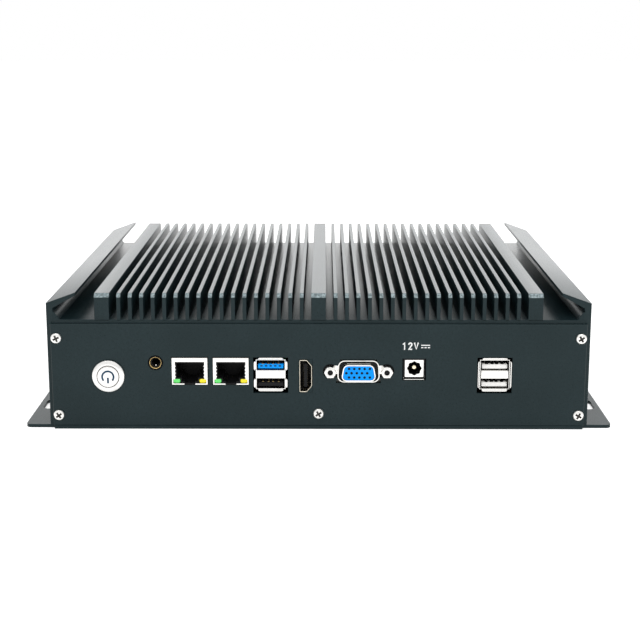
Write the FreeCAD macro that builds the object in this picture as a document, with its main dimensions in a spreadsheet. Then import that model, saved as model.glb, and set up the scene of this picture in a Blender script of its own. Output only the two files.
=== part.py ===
"""Fanless industrial PC: finned aluminium case, port panel, connectors and mainboard.

The origin is the middle of the case's underside. +Z is up, +X is right and the port panel faces -Y.
Every size is a cell of the sheet below, in millimetres, and the sub-parts are bound to those cells.
"""
import FreeCAD, Part
import Sketcher
import math
import os
import re

DOC = FreeCAD.newDocument("FanlessPC")

# ---------------------------------------------------------------------------------------------
# Driving sizes: one sheet cell each
# ---------------------------------------------------------------------------------------------
SIZES = {
    # case extrusion
    "case_width": 240.0,
    "case_depth": 205.0,
    "wall_thick": 3.4,
    "wall_top": 56.9,
    "base_low": 44.5,
    "base_high": 49.55,
    "wing_reach": 13.0,
    "wing_top": 61.6,
    "wing_tip": 1.4,
    "rim_thick": 2.95,
    "ramp_run": 5.8,
    "foot_reach": 16.0,
    "foot_thick": 3.5,
    "rim_drop": 2.3,
    "root_top": 3.6,
    "root_bend_in": 0.9,
    "root_bend_up": 2.9,
    "root_ledge_in": 1.9,
    "root_ledge_up": 1.7,
    # fins
    "fin_top": 61.1,
    "fin_thick": 1.7,
    "fin_gap": 3.34,
    "fins_per_side": 17,
    "thick_fin": 6.5,
    "fin_chamfer": 1.73,
    # panels
    "panel_thick": 2.0,
    "panel_inset": 1.8,
    "panel_top": 47.9,
    "panel_edge": 0.25,
    "cutout_gap": 0.3,
    # bottom cover
    "cover_thick": 1.5,
    "cover_inset": 2.2,
    "ear_reach": 11.0,
    "ear_corner": 2.5,
    "slot_out": 5.3,
    "slot_from_end": 32.8,
    "slot_half_width": 3.3,
    "slot_length": 16.0,
    "tab_half_width": 6.0,
    "tab_thick": 1.5,
    "tab_height": 10.5,
    "tab_window": 11.0,
    # screws
    "screw_radius": 1.45,
    "screw_hole": 1.5,
    "panel_hole": 1.65,
    "cover_hole": 1.6,
    "screw_head": 2.55,
    "screw_head_high": 1.7,
    "screw_dome": 0.9,
    "screw_reach": 11.0,
    "recess_arm": 1.45,
    "recess_half": 0.36,
    "recess_deep": 1.1,
    "boss_radius": 3.1,
    "corner_screw_inset": 4.5,
    "high_screw_z": 41.6,
    "low_screw_z": 6.5,
    "middle_screw_z": 7.3,
    "cover_screw_inset": 12.0,
    "cover_screw_y": 85.0,
    "flat_head": 2.75,
    "flat_gap": 0.1,
    # mainboard and what it carries inside
    "board_size": 170.0,
    "board_x": 3.8,
    "board_setback": 3.0,
    "board_low": 32.8,
    "board_thick": 1.6,
    "board_hole_inset": 6.35,
    "board_front_hole": 26.0,
    "board_hole": 1.6,
    "board_screw_reach": 7.0,
    "standoff_across": 6.0,
    "cpu_size": 37.5,
    "cpu_high": 3.2,
    "cpu_y": 10.0,
    "pad_thick": 0.5,
    "heat_block_size": 52.0,
    "memory_width": 73.0,
    "memory_y": 20.0,
    "socket_deep": 6.5,
    "socket_high": 5.2,
    "module_width": 67.6,
    "module_deep": 30.0,
    "module_thick": 1.2,
    "module_drop": 3.0,
    # power button
    "button_x": -93.0,
    "button_z": 24.5,
    "bezel_radius": 7.2,
    "bezel_thick": 1.6,
    "bezel_edge": 0.45,
    "gasket_thick": 0.4,
    "gasket_inset": 0.3,
    "thread_gap": 0.05,
    "barrel_radius": 5.95,
    "barrel_clear": 0.15,
    "barrel_length": 18.5,
    "cap_radius": 4.85,
    "cap_clear": 0.15,
    "cap_proud": 0.3,
    "cap_thick": 4.5,
    "cap_edge": 0.3,
    "cap_travel": 2.0,
    "travel_spare": 0.8,
    "stem_radius": 2.0,
    "stem_clear": 0.2,
    "stem_length": 8.2,
    "guide_length": 6.5,
    "switch_radius": 4.9,
    "switch_clear": 0.1,
    "switch_length": 6.0,
    "terminal_x": 2.5,
    "terminal_z": 2.4,
    "terminal_width": 2.2,
    "terminal_length": 5.0,
    "terminal_thick": 0.5,
    "nut_across": 14.0,
    "nut_thick": 2.2,
    "symbol_radius": 3.0,
    "symbol_line": 0.62,
    "symbol_deep": 0.3,
    "symbol_opening": 100.0,
    "symbol_bar": 2.6,
    "symbol_bar_top": -0.35,
    # audio jack
    "audio_x": -72.1,
    "audio_z": 30.4,
    "audio_nose": 3.1,
    "audio_nose_proud": 0.2,
    "audio_shoulder": 0.2,
    "audio_sleeve": 2.75,
    "audio_ring": 0.3,
    "audio_ring_deep": 1.6,
    "audio_ring_gap": 0.02,
    "audio_ring_proud": 0.1,
    "audio_bore": 1.8,
    "audio_bore_deep": 12.0,
    "audio_half_width": 5.5,
    "audio_drop": 2.9,
    "audio_deep": 14.0,
    # network jacks
    "lan_a_x": -57.0,
    "lan_b_x": -38.8,
    "lan_width": 15.75,
    "lan_high": 12.2,
    "lan_deep": 21.0,
    "lan_proud": 0.7,
    "lan_sheet": 0.3,
    "lan_frame_top": 1.85,
    "lan_frame_side": 1.4,
    "lan_frame_low": 0.7,
    "plug_half_width": 5.9,
    "plug_top": 2.4,
    "plug_low": 9.2,
    "step_half_width": 3.6,
    "step_low": 10.8,
    "plug_deep": 15.0,
    "latch_half_width": 2.3,
    "lamp_width": 3.1,
    "lamp_high": 1.85,
    "lamp_deep": 4.0,
    "lamp_outer": 7.3,
    "lan_contact": 0.45,
    "lan_pitch": 1.02,
    "lan_ways": 8,
    "lan_contact_foot": 0.8,
    "lan_contact_drop": 2.3,
    "lan_contact_front": 2.0,
    # data stacks
    "data_a_x": -21.2,
    "data_b_x": 77.9,
    "data_half_width": 6.55,
    "data_drop": 0.85,
    "data_slot_high": 4.75,
    "data_deep": 17.5,
    "data_sheet": 0.3,
    "data_lip": 0.9,
    "data_lip_proud": 0.5,
    "data_lip_root": 1.0,
    "data_lip_half": 5.5,
    "data_lip_corner": 0.75,
    "data_cutout_half": 7.75,
    "data_cutout_high": 0.1,
    "data_cutout_gap": 0.9,
    "data_band": 3.4,
    "tongue_half_width": 5.6,
    "tongue_thick": 1.95,
    "tongue_rise": 0.75,
    "tongue_setback": 0.8,
    "data_root": 10.0,
    "data_contact": 1.0,
    "data_contact_thick": 0.15,
    "data_contact_setback": 0.5,
    "data_contact_length": 6.5,
    "data_contact_inner": 1.0,
    "data_contact_outer": 3.5,
    # digital video
    "video_x": -5.7,
    "video_z": 24.5,
    "video_half_width": 2.75,
    "video_half_high": 7.28,
    "video_bevel_x": 2.25,
    "video_bevel_z": 2.8,
    "video_sheet": 0.35,
    "video_proud": 0.5,
    "video_shell_deep": 12.0,
    "video_deep": 16.0,
    "video_tongue_half": 5.4,
    "video_tongue_setback": 1.0,
    "video_tongue_thick": 1.5,
    "video_contact": 0.32,
    "video_contact_thick": 0.12,
    "video_contact_start": 1.5,
    "video_contact_end": 8.0,
    "video_pitch": 1.0,
    "video_contacts": 10,
    # analog video
    "dsub_x": 17.68,
    "dsub_z": 26.6,
    "dsub_proud": 3.9,
    "dsub_shell_width": 15.8,
    "dsub_shell_high": 7.6,
    "dsub_root_width": 19.4,
    "dsub_root_high": 10.2,
    "dsub_root_proud": 0.4,
    "dsub_slope": 0.1763,
    "dsub_corner": 2.5,
    "dsub_sheet": 0.55,
    "dsub_flange_width": 30.8,
    "dsub_flange_high": 12.5,
    "dsub_flange_thick": 0.9,
    "dsub_deep": 14.0,
    "dsub_insert_back": 0.5,
    "dsub_insert_gap": 0.1,
    "dsub_pin_hole": 0.5,
    "dsub_pin_deep": 5.0,
    "dsub_pin_pitch": 2.29,
    "dsub_pin_shift": 0.3,
    "dsub_row_pitch": 1.97,
    "jackscrew_spacing": 25.0,
    "jackscrew_across": 4.75,
    "jackscrew_proud": 3.0,
    "jackscrew_bore": 1.25,
    "jackscrew_bore_deep": 4.5,
    "jackscrew_stud": 1.4,
    "jackscrew_clear": 0.1,
    "jackscrew_window": 3.3,
    "dsub_window_half": 2.6,
    "jackscrew_stud_length": 6.0,
    # DC jack
    "dc_x": 42.3,
    "dc_z": 28.15,
    "dc_half_width": 4.38,
    "dc_drop": 4.0,
    "dc_proud": 0.5,
    "dc_cutout": 0.85,
    "dc_shield_gap": 0.15,
    "dc_shield_thick": 0.3,
    "dc_shield_setback": 0.4,
    "dc_deep": 14.0,
    "dc_bore": 2.95,
    "dc_bore_deep": 10.5,
    "dc_pin": 1.2,
    "dc_pin_length": 9.0,
}
SHEET = DOC.addObject("Spreadsheet::Sheet", "Sizes")
for row, (name, value) in enumerate(SIZES.items(), start=1):
    SHEET.set("A" + str(row), name)
    SHEET.set("B" + str(row), str(value))
    SHEET.setAlias("B" + str(row), name)
DOC.recompute()

# Often used planes and places, as formulas of the sheet's cells
FRONT = "(-case_depth / 2)"
FACE = "(-case_depth / 2 - panel_thick)"
REAR = "(case_depth / 2)"
HALF = "(case_width / 2)"
INNER = "(case_width / 2 - wall_thick)"
FIN_PITCH = "(fin_thick + fin_gap)"
FIN_BLOCK = "(thick_fin / 2 + fins_per_side * (fin_thick + fin_gap) + fin_gap)"
PANEL_HALF = "(case_width / 2 - panel_inset)"
CORNER_SCREW = "(case_width / 2 - corner_screw_inset)"
COVER_SCREW = "(case_width / 2 - cover_screw_inset)"
EAR_SLOT = "(case_width / 2 + slot_out)"
BOARD_BACK = "(-case_depth / 2 + board_setback + board_size)"
BOARD_HIGH = "(board_low + board_thick)"
DATA_UPPER = "(-data_drop - data_sheet - data_slot_high)"
DATA_LOWER = "(-data_drop - data_sheet - 2 * data_slot_high - data_band)"
DC_TOP = "(dc_z + dc_drop)"

# Screws of an end panel: four in the corners and one in the middle of the lower edge
SCREW_SPOTS = (
    ("-" + CORNER_SCREW, "high_screw_z"), (CORNER_SCREW, "high_screw_z"),
    ("-" + CORNER_SCREW, "low_screw_z"), (CORNER_SCREW, "low_screw_z"),
    ("0", "middle_screw_z"),
)

PLANES = {"front": "XZ_Plane", "top": "XY_Plane", "side": "YZ_Plane"}
AXES = {"x": "X_Axis", "y": "Y_Axis", "z": "Z_Axis"}
NEAR = 1e-4
NODES = []


# ---------------------------------------------------------------------------------------------
# Formulas and document objects
# ---------------------------------------------------------------------------------------------
def formula(text):
    """Return a formula with each cell's name written as a reference to the sheet."""
    return re.sub(r"[a-z][a-z0-9_]*", lambda word: "Sizes." + word.group()
                  if word.group() in SIZES else word.group(), str(text))


def size(text):
    """Return the value of a formula now."""
    return float(SHEET.evalExpression(formula(text)))


def bind(thing, prop, text):
    """Bind a property to a formula."""
    thing.setExpression(prop, formula(text))


def place(thing, x="0", y="0", z="0", turn_axis=(0, 0, 1), turn=0):
    """Put a thing at formulas for x, y and z, turned by a fixed angle about a fixed axis."""
    spin = FreeCAD.Rotation(FreeCAD.Vector(*turn_axis), turn)
    thing.Placement = FreeCAD.Placement(FreeCAD.Vector(size(x), size(y), size(z)), spin)
    bind(thing, "Placement.Base.x", x)
    bind(thing, "Placement.Base.y", y)
    bind(thing, "Placement.Base.z", z)
    return thing


def node(thing, label):
    """Give a finished sub-part its name and list it for export."""
    thing.Label = label
    NODES.append(thing)
    return thing


def new_body(name):
    """Start a PartDesign body."""
    return DOC.addObject("PartDesign::Body", name)


def origin_item(body, role):
    """Return one of a body's own origin planes or axes."""
    return next(item for item in body.Origin.OriginFeatures if item.Role == role)


# ---------------------------------------------------------------------------------------------
# Sketch shapes: each returns a function that draws itself into a sketch
# ---------------------------------------------------------------------------------------------
def hold(sketch, kind, piece, point, text):
    """Hold one coordinate of a sketch point at a formula's value."""
    held = sketch.addConstraint(Sketcher.Constraint(kind, -1, 1, piece, point, size(text)))
    bind(sketch, "Constraints[" + str(held) + "]", text)


def pin_point(sketch, piece, point, across, up):
    """Hold a point of a sketch line or arc at two distances from the sketch's origin."""
    hold(sketch, "DistanceX", piece, point, across)
    hold(sketch, "DistanceY", piece, point, up)


def polygon(points):
    """Closed outline through (across, up) pairs of formulas."""
    def draw(sketch):
        corners = [FreeCAD.Vector(size(across), size(up), 0) for across, up in points]
        first = sketch.GeometryCount
        count = len(corners)
        for k in range(count):
            sketch.addGeometry(Part.LineSegment(corners[k], corners[(k + 1) % count]), False)
        for k in range(count):
            follower = first + (k + 1) % count
            sketch.addConstraint(Sketcher.Constraint("Coincident", first + k, 2, follower, 1))
        for k, (across, up) in enumerate(points):
            pin_point(sketch, first + k, 1, across, up)
    return draw


def rectangle(left, low, right, high):
    """Upright rectangle between two corners."""
    return polygon([(left, low), (right, low), (right, high), (left, high)])


def circle(across, up, radius):
    """Circle about a point."""
    def draw(sketch):
        centre = FreeCAD.Vector(size(across), size(up), 0)
        piece = sketch.addGeometry(Part.Circle(centre, FreeCAD.Vector(0, 0, 1), size(radius)), False)
        pin_point(sketch, piece, 3, across, up)
        held = sketch.addConstraint(Sketcher.Constraint("Radius", piece, size(radius)))
        bind(sketch, "Constraints[" + str(held) + "]", radius)
    return draw


def hexagon(across_flats):
    """Hexagon about the origin with level flats above and below."""
    flat = across_flats + " / 2"
    corner = across_flats + " / sqrt(3)"
    half = corner + " / 2"
    return polygon([(corner, "0"), (half, flat), ("-" + half, flat),
                    ("-" + corner, "0"), ("-" + half, "-" + flat), (half, "-" + flat)])


def trapezium(width, high):
    """D-connector outline about the origin: wide side down, sides leaning inwards to the top."""
    top = "((" + width + ") / 2 - (" + high + ") * dsub_slope)"
    half_width = "(" + width + ") / 2"
    half_high = "(" + high + ") / 2"
    return polygon([("-" + half_width, "-" + half_high), (half_width, "-" + half_high),
                    (top, half_high), ("-" + top, half_high)])


def cross(arm, half):
    """Cross-shaped driver recess about the origin."""
    near = ((half, half), (half, arm), ("-" + half, arm), ("-" + half, half))
    far = (("-" + arm, half), ("-" + arm, "-" + half), ("-" + half, "-" + half), ("-" + half, "-" + arm))
    last = ((half, "-" + arm), (half, "-" + half), (arm, "-" + half), (arm, half))
    return polygon(near + far + last)


# ---------------------------------------------------------------------------------------------
# PartDesign features: each runs from `start` for `length` towards the plus end of its view's axis
# ---------------------------------------------------------------------------------------------
def sketch_on(body, view, start, shapes):
    """Sketch shapes on one of the body's own planes, moved to `start` along its axis."""
    sketch = body.newObject("Sketcher::SketchObject", body.Name + "_sketch")
    sketch.AttachmentSupport = (origin_item(body, PLANES[view]), [""])
    sketch.MapMode = "FlatFace"
    away = "-(" + start + ")" if view == "front" else start
    bind(sketch, "AttachmentOffset.Base.z", away)
    for draw in shapes:
        draw(sketch)
    sketch.Visibility = False
    return sketch


def pad(body, view, start, length, *shapes):
    """Add material."""
    sketch = sketch_on(body, view, start, shapes)
    feature = body.newObject("PartDesign::Pad", body.Name + "_pad")
    feature.Profile = sketch
    feature.Reversed = view == "front"
    bind(feature, "Length", length)
    DOC.recompute()
    return feature


def pocket(body, view, start, length, *shapes):
    """Cut material away, and make sure that something was cut."""
    before = body.Shape.Volume
    sketch = sketch_on(body, view, start, shapes)
    feature = body.newObject("PartDesign::Pocket", body.Name + "_pocket")
    feature.Profile = sketch
    feature.Reversed = view != "front"
    bind(feature, "Length", length)
    DOC.recompute()
    if body.Shape.Volume >= before - 1e-6:
        raise ValueError(feature.Name + " cuts nothing")
    return feature


def turned(body, points, view="top"):
    """Revolve an outline of (radius, along) pairs about the sketch's upright axis."""
    sketch = sketch_on(body, view, "0", [polygon(points)])
    feature = body.newObject("PartDesign::Revolution", body.Name + "_turned")
    feature.Profile = sketch
    feature.ReferenceAxis = (sketch, ["V_Axis"])
    feature.Angle = 360
    DOC.recompute()
    return feature


def row_of(body, feature, axis, pitch, count):
    """Repeat a feature along one of the body's axes."""
    pattern = body.newObject("PartDesign::LinearPattern", body.Name + "_row")
    pattern.Originals = [feature]
    pattern.Direction = (origin_item(body, AXES[axis]), [""])
    bind(pattern, "Length", "(" + pitch + ") * (" + count + " - 1)")
    bind(pattern, "Occurrences", count)
    body.Tip = pattern
    DOC.recompute()
    return pattern


def dress(body, kind, radius, chosen):
    """Fillet or chamfer the tip's edges that `chosen` picks."""
    base = body.Tip
    picked = ["Edge" + str(k) for k, edge in enumerate(base.Shape.Edges, start=1) if chosen(edge)]
    if not picked:
        raise ValueError(body.Name + " has no edge to " + kind.lower())
    feature = body.newObject("PartDesign::" + kind, body.Name + "_" + kind.lower())
    feature.Base = (base, picked)
    bind(feature, "Radius" if kind == "Fillet" else "Size", radius)
    DOC.recompute()
    return feature


def along(edge, axis):
    """Tell whether an edge is straight along one axis."""
    if edge.Curve.TypeId != "Part::GeomLine":
        return False
    first, last = (vertex.Point for vertex in edge.Vertexes)
    return abs(abs(getattr(last - first, axis)) - edge.Length) < NEAR


def lies_at(edge, axis, value):
    """Tell whether all of an edge lies at one value, or at its opposite, along an axis."""
    return all(abs(abs(getattr(vertex.Point, axis)) - abs(value)) < NEAR for vertex in edge.Vertexes)


# ---------------------------------------------------------------------------------------------
# Part primitives
# ---------------------------------------------------------------------------------------------
def block(name, corner, extent):
    """Box from its low corner and its extent along x, y and z."""
    box = DOC.addObject("Part::Box", name)
    for prop, text in zip(("Length", "Width", "Height"), extent):
        bind(box, prop, text)
    return place(box, *corner)


def rod(name, centre, radius, length):
    """Cylinder that runs from `centre` towards +Y."""
    cylinder = DOC.addObject("Part::Cylinder", name)
    bind(cylinder, "Radius", radius)
    bind(cylinder, "Height", length)
    return place(cylinder, *centre, turn_axis=(1, 0, 0), turn=-90)


def group(name, parts):
    """Separate solids kept as one sub-part."""
    compound = DOC.addObject("Part::Compound", name)
    compound.Links = parts
    return compound


def cut(name, base, tool):
    """Base with the tool's shape taken away."""
    result = DOC.addObject("Part::Cut", name)
    result.Base = base
    result.Tool = tool
    return result


def copies(name, master, places):
    """Linked copies of one piece at (x, y, z, turn axis, turn) places, as one group."""
    links = []
    for x, y, z, turn_axis, turn in places:
        link = DOC.addObject("App::Link", name + "_copy")
        link.LinkedObject = master
        links.append(place(link, x, y, z, turn_axis, turn))
    return group(name, links)


# ---------------------------------------------------------------------------------------------
# Case
# ---------------------------------------------------------------------------------------------
def mirrored(points):
    """Outline of a right half, from its lowest inner point round to its highest, and its mirror image."""
    left = [("-(" + across + ")", up) for across, up in reversed(points)]
    return list(points) + left


def heatsink_body():
    """Extruded case top: base, fins, side walls with wings, foot flanges and screw bosses."""
    body = new_body("HeatsinkBody")
    rim = "(case_width / 2 - rim_thick)"
    ramp = "(case_width / 2 - ramp_run)"
    tip = "(case_width / 2 - wing_reach)"
    foot = "(case_width / 2 - foot_reach)"
    right = [
        (INNER, "base_low"), (INNER, "cover_thick + foot_thick"),
        (foot, "cover_thick + foot_thick"), (foot, "cover_thick"),
        (HALF, "cover_thick"), (HALF, "wall_top"),
        (tip, "wing_top"), (tip, "wing_top - wing_tip"),
        (rim, "wall_top - rim_drop"), (rim, "base_high + root_top"),
        (rim + " - root_bend_in", "base_high + root_bend_up"),
        (rim + " - root_ledge_in", "base_high + root_ledge_up"), (ramp, "base_high"),
    ]
    pad(body, "front", FRONT, "case_depth", polygon(mirrored(right)))
    for side in ("-", ""):
        for level in ("high_screw_z", "low_screw_z"):
            pad(body, "front", FRONT, "case_depth", circle(side + CORNER_SCREW, level, "boss_radius"))
    return body


def build_heatsink():
    """Add the fins and the screw bores to the extrusion."""
    body = heatsink_body()
    profile = polygon([
        (FRONT, "base_high"), (REAR, "base_high"), (REAR, "fin_top - fin_chamfer"),
        (REAR + " - fin_chamfer", "fin_top"), (FRONT + " + fin_chamfer", "fin_top"),
        (FRONT, "fin_top - fin_chamfer"),
    ])
    for start in ("-thick_fin / 2", FIN_BLOCK, "-" + FIN_BLOCK + " - thick_fin"):
        pad(body, "side", start, "thick_fin", profile)
    for start in ("thick_fin / 2 + fin_gap", "-" + FIN_BLOCK + " + fin_gap"):
        fin = pad(body, "side", start, "fin_thick", profile)
        row_of(body, fin, "x", FIN_PITCH, "fins_per_side")
    bores = [circle(side + CORNER_SCREW, level, "screw_hole")
             for side in ("-", "") for level in ("high_screw_z", "low_screw_z")]
    pocket(body, "front", FRONT, "case_depth", *bores)
    holes = [circle(side + COVER_SCREW, along, "screw_hole")
             for side in ("-", "") for along in ("-cover_screw_y", "0", "cover_screw_y")]
    pocket(body, "top", "cover_thick", "foot_thick", *holes)
    node(body, "heatsink_body")


def blank_panel(name, start):
    """Plain end panel with its five screw holes."""
    body = new_body(name)
    outline = rectangle("-" + PANEL_HALF, "cover_thick", PANEL_HALF, "panel_top")
    pad(body, "front", start, "panel_thick", outline)
    holes = [circle(across, up, "panel_hole") for across, up in SCREW_SPOTS]
    pocket(body, "front", start, "panel_thick", *holes)
    return body


def lan_cutout(centre):
    """Opening for a network jack that hangs under the mainboard."""
    return rectangle(centre + " - lan_width / 2 - cutout_gap", "board_low - lan_high - cutout_gap",
                     centre + " + lan_width / 2 + cutout_gap", "board_low + cutout_gap")


def data_cutout(centre):
    """Opening for a data stack and the lips that spread from its shell."""
    low = "board_low + " + DATA_LOWER + " - data_sheet - data_lip - data_cutout_gap"
    return rectangle(centre + " - data_cutout_half", low,
                     centre + " + data_cutout_half", "board_low + data_cutout_high")


def build_front_panel():
    """Port panel: every opening follows its connector."""
    body = blank_panel("FrontPanel", FACE)
    video = rectangle("video_x - video_half_width - cutout_gap", "video_z - video_half_high - cutout_gap",
                     "video_x + video_half_width + cutout_gap", "video_z + video_half_high + cutout_gap")
    power_in = rectangle("dc_x - dc_half_width - dc_cutout", "dc_z - dc_drop - 2 * dc_cutout",
                         "dc_x + dc_half_width + dc_cutout", DC_TOP + " + cutout_gap")
    pocket(body, "front", FACE, "panel_thick",
           circle("button_x", "button_z", "barrel_radius + barrel_clear"),
           circle("audio_x", "audio_z", "audio_nose + cutout_gap"),
           lan_cutout("lan_a_x"), lan_cutout("lan_b_x"), data_cutout("data_a_x"), data_cutout("data_b_x"),
           video, power_in)
    width = "(dsub_root_width / 2 + cutout_gap)"
    high = "(dsub_root_high / 2 + cutout_gap)"
    top = "(" + width + " - 2 * " + high + " * dsub_slope)"
    pocket(body, "front", FACE, "panel_thick",
           polygon([("dsub_x - " + width, "dsub_z - " + high), ("dsub_x + " + width, "dsub_z - " + high),
                    ("dsub_x + " + top, "dsub_z + " + high), ("dsub_x - " + top, "dsub_z + " + high)]))
    for side in ("-", "+"):
        pocket(body, "front", FACE, "panel_thick",
               circle("dsub_x " + side + " jackscrew_spacing / 2", "dsub_z", "jackscrew_window"))
    pocket(body, "front", FACE, "panel_thick",
           rectangle("dsub_x - jackscrew_spacing / 2", "dsub_z - dsub_window_half",
                     "dsub_x + jackscrew_spacing / 2", "dsub_z + dsub_window_half"))
    reach = size(PANEL_HALF)
    dress(body, "Chamfer", "panel_edge", lambda edge: lies_at(edge, "y", size(FACE)) and (
        lies_at(edge, "z", size("panel_top")) or lies_at(edge, "x", reach)))
    node(body, "front_panel")


def build_rear_panel():
    """Plain rear panel."""
    node(blank_panel("RearPanel", REAR), "rear_panel")


def slot(across, up):
    """Round-ended mounting slot that runs front to back, centred on a point."""
    def draw(sketch):
        reach = "(slot_length / 2 - slot_half_width)"
        left = "(" + across + " - slot_half_width)"
        right = "(" + across + " + slot_half_width)"
        ends = ("(" + up + " - " + reach + ")", "(" + up + " + " + reach + ")")
        first = sketch.GeometryCount
        for level, start, stop in ((ends[0], math.pi, 2 * math.pi), (ends[1], 0, math.pi)):
            centre = FreeCAD.Vector(size(across), size(level), 0)
            ring = Part.Circle(centre, FreeCAD.Vector(0, 0, 1), size("slot_half_width"))
            sketch.addGeometry(Part.ArcOfCircle(ring, start, stop), False)
        for side in (left, right):
            corners = [FreeCAD.Vector(size(side), size(level), 0) for level in ends]
            sketch.addGeometry(Part.LineSegment(*corners), False)
        low_arc, high_arc, left_line, right_line = range(first, first + 4)
        for line, low_end, high_end in ((left_line, 1, 2), (right_line, 2, 1)):
            sketch.addConstraint(Sketcher.Constraint("Coincident", line, 1, low_arc, low_end))
            sketch.addConstraint(Sketcher.Constraint("Coincident", line, 2, high_arc, high_end))
        for arc, point, level in ((low_arc, 1, ends[0]), (high_arc, 2, ends[1])):
            pin_point(sketch, arc, 3, across, level)
            pin_point(sketch, left_line, point, left, level)
            hold(sketch, "DistanceY", right_line, point, level)
    return draw


def build_bottom_cover():
    """Bottom plate: it reaches under both panels and spreads into two slotted mounting ears."""
    body = new_body("BottomCover")
    narrow = "(case_width / 2 - cover_inset)"
    ear = "(case_width / 2 + ear_reach)"
    lip = "(case_depth / 2 + panel_thick)"
    right = [(narrow, "-" + lip), (narrow, FRONT), (ear, FRONT), (ear, REAR), (narrow, REAR), (narrow, lip)]
    pad(body, "top", "0", "cover_thick", polygon(mirrored(right)))
    corner = size(ear)
    dress(body, "Fillet", "ear_corner", lambda edge: along(edge, "z") and lies_at(edge, "x", corner))
    pocket(body, "top", "0", "cover_thick", *[slot(side + EAR_SLOT, end)
           for side in ("-", "") for end in (FRONT + " + slot_from_end", REAR + " - slot_from_end")])
    pocket(body, "top", "0", "cover_thick", *[circle(side + COVER_SCREW, place_y, "cover_hole")
           for side in ("-", "") for place_y in ("-cover_screw_y", "0", "cover_screw_y")])
    rear_tab = REAR + " - tab_thick"
    for start, window in ((FRONT, FRONT + " + tab_thick"), (rear_tab, rear_tab + " - tab_window")):
        pad(body, "front", start, "tab_thick",
            rectangle("-tab_half_width", "cover_thick / 2", "tab_half_width", "cover_thick + tab_height"))
        pocket(body, "front", start, "tab_thick", circle("0", "middle_screw_z", "screw_hole"))
        pocket(body, "top", "0", "cover_thick",
               rectangle("-tab_half_width", window, "tab_half_width", window + " + tab_window"))
    bore = size("cover_hole")
    dress(body, "Chamfer", "flat_head - cover_hole", lambda edge: lies_at(edge, "z", 0)
          and edge.Curve.TypeId == "Part::GeomCircle" and abs(edge.Curve.Radius - bore) < NEAR)
    node(body, "bottom_cover")


def pan_screw(name, reach):
    """Domed cross-recess screw that points to +Z, with the underside of its head at the origin."""
    body = new_body(name)
    turned(body, [("0", "-screw_head_high"), ("screw_head", "-screw_head_high"), ("screw_head", "0"),
                  ("screw_radius", "0"), ("screw_radius", reach), ("0", reach)], view="front")
    dress(body, "Fillet", "screw_dome", lambda edge: lies_at(edge, "z", size("screw_head_high")))
    pocket(body, "top", "-screw_head_high", "recess_deep", cross("recess_arm", "recess_half"))
    return body


def flat_screw(name):
    """Countersunk cross-recess screw that points to +Z, with the top of its head at the origin."""
    body = new_body(name)
    rim = "flat_head - flat_gap"
    end = "cover_thick + foot_thick"
    turned(body, [("0", "0"), (rim, "0"), ("screw_radius", rim + " - screw_radius"),
                  ("screw_radius", end), ("0", end)], view="front")
    pocket(body, "top", "0", "recess_deep", cross("recess_arm", "recess_half"))
    return body


def build_case_screws():
    """Panel screws, five to a panel, and the six flush screws of the bottom cover."""
    long_screw = pan_screw("PanelScrew", "screw_reach")
    across = (1, 0, 0)
    front = [(x, FACE, z, across, -90) for x, z in SCREW_SPOTS]
    rear = [(x, REAR + " + panel_thick", z, across, 90) for x, z in SCREW_SPOTS]
    node(copies("FrontScrews", long_screw, front), "front_panel_screws")
    node(copies("RearScrews", long_screw, rear), "rear_panel_screws")
    flush = [(side + COVER_SCREW, along, "0", across, 0)
             for side in ("-", "") for along in ("-cover_screw_y", "0", "cover_screw_y")]
    node(copies("CoverScrews", flat_screw("CoverScrew"), flush), "bottom_cover_screws")


# ---------------------------------------------------------------------------------------------
# Mainboard and what it carries inside the case
# ---------------------------------------------------------------------------------------------
def board_corners():
    """Centres of the mainboard's four fixing holes."""
    spots = []
    for side in ("-", "+"):
        across = "board_x " + side + " (board_size / 2 - board_hole_inset)"
        spots.append((across, FRONT + " + board_setback + board_front_hole"))
        spots.append((across, BOARD_BACK + " - board_hole_inset"))
    return spots


def build_mainboard():
    """Mainboard hung under the case's base on four pillars, with its processor up against the base."""
    body = new_body("Mainboard")
    front = FRONT + " + board_setback"
    outline = rectangle("board_x - board_size / 2", front, "board_x + board_size / 2", BOARD_BACK)
    pad(body, "top", "board_low", "board_thick", outline)
    holes = [circle(x, y, "board_hole") for x, y in board_corners()]
    pocket(body, "top", "board_low", "board_thick", *holes)
    node(body, "mainboard")
    pillar = new_body("Pillar")
    pad(pillar, "top", "0", "base_low - board_low - board_thick", hexagon("standoff_across"))
    pocket(pillar, "top", "0", "board_screw_reach", circle("0", "0", "screw_hole"))
    screw = pan_screw("BoardScrew", "board_screw_reach")
    held = ((pillar, "board_standoffs", BOARD_HIGH), (screw, "board_screws", "board_low"))
    for master, label, level in held:
        spots = [(x, y, level, (0, 0, 1), 0) for x, y in board_corners()]
        node(copies(master.Label + "Set", master, spots), label)


def centred_block(name, x, y, z, width, deep, high):
    """Box with its middle over (x, y) and its underside at z."""
    return block(name, (x + " - (" + width + ") / 2", y + " - (" + deep + ") / 2", z), (width, deep, high))


def build_inside():
    """Processor, thermal pad, heat block and memory."""
    pad_low = BOARD_HIGH + " + cpu_high"
    heat_low = pad_low + " + pad_thick"
    stack = [("cpu_package", BOARD_HIGH, "cpu_size", "cpu_high"),
             ("thermal_pad", pad_low, "cpu_size", "pad_thick"),
             ("heat_block", heat_low, "heat_block_size", "base_low - (" + heat_low + ")")]
    for label, level, side, high in stack:
        node(centred_block("Stack", "board_x", "cpu_y", level, side, side, high), label)
    node(centred_block("MemorySocket", "board_x", "memory_y", "board_low - socket_high", "memory_width",
                       "socket_deep", "socket_high"), "memory_socket")
    node(centred_block("MemoryModule", "board_x", "memory_y + socket_deep / 2 + module_deep / 2",
                       "board_low - module_drop - module_thick",
                       "module_width", "module_deep", "module_thick"),
         "memory_module")


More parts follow.
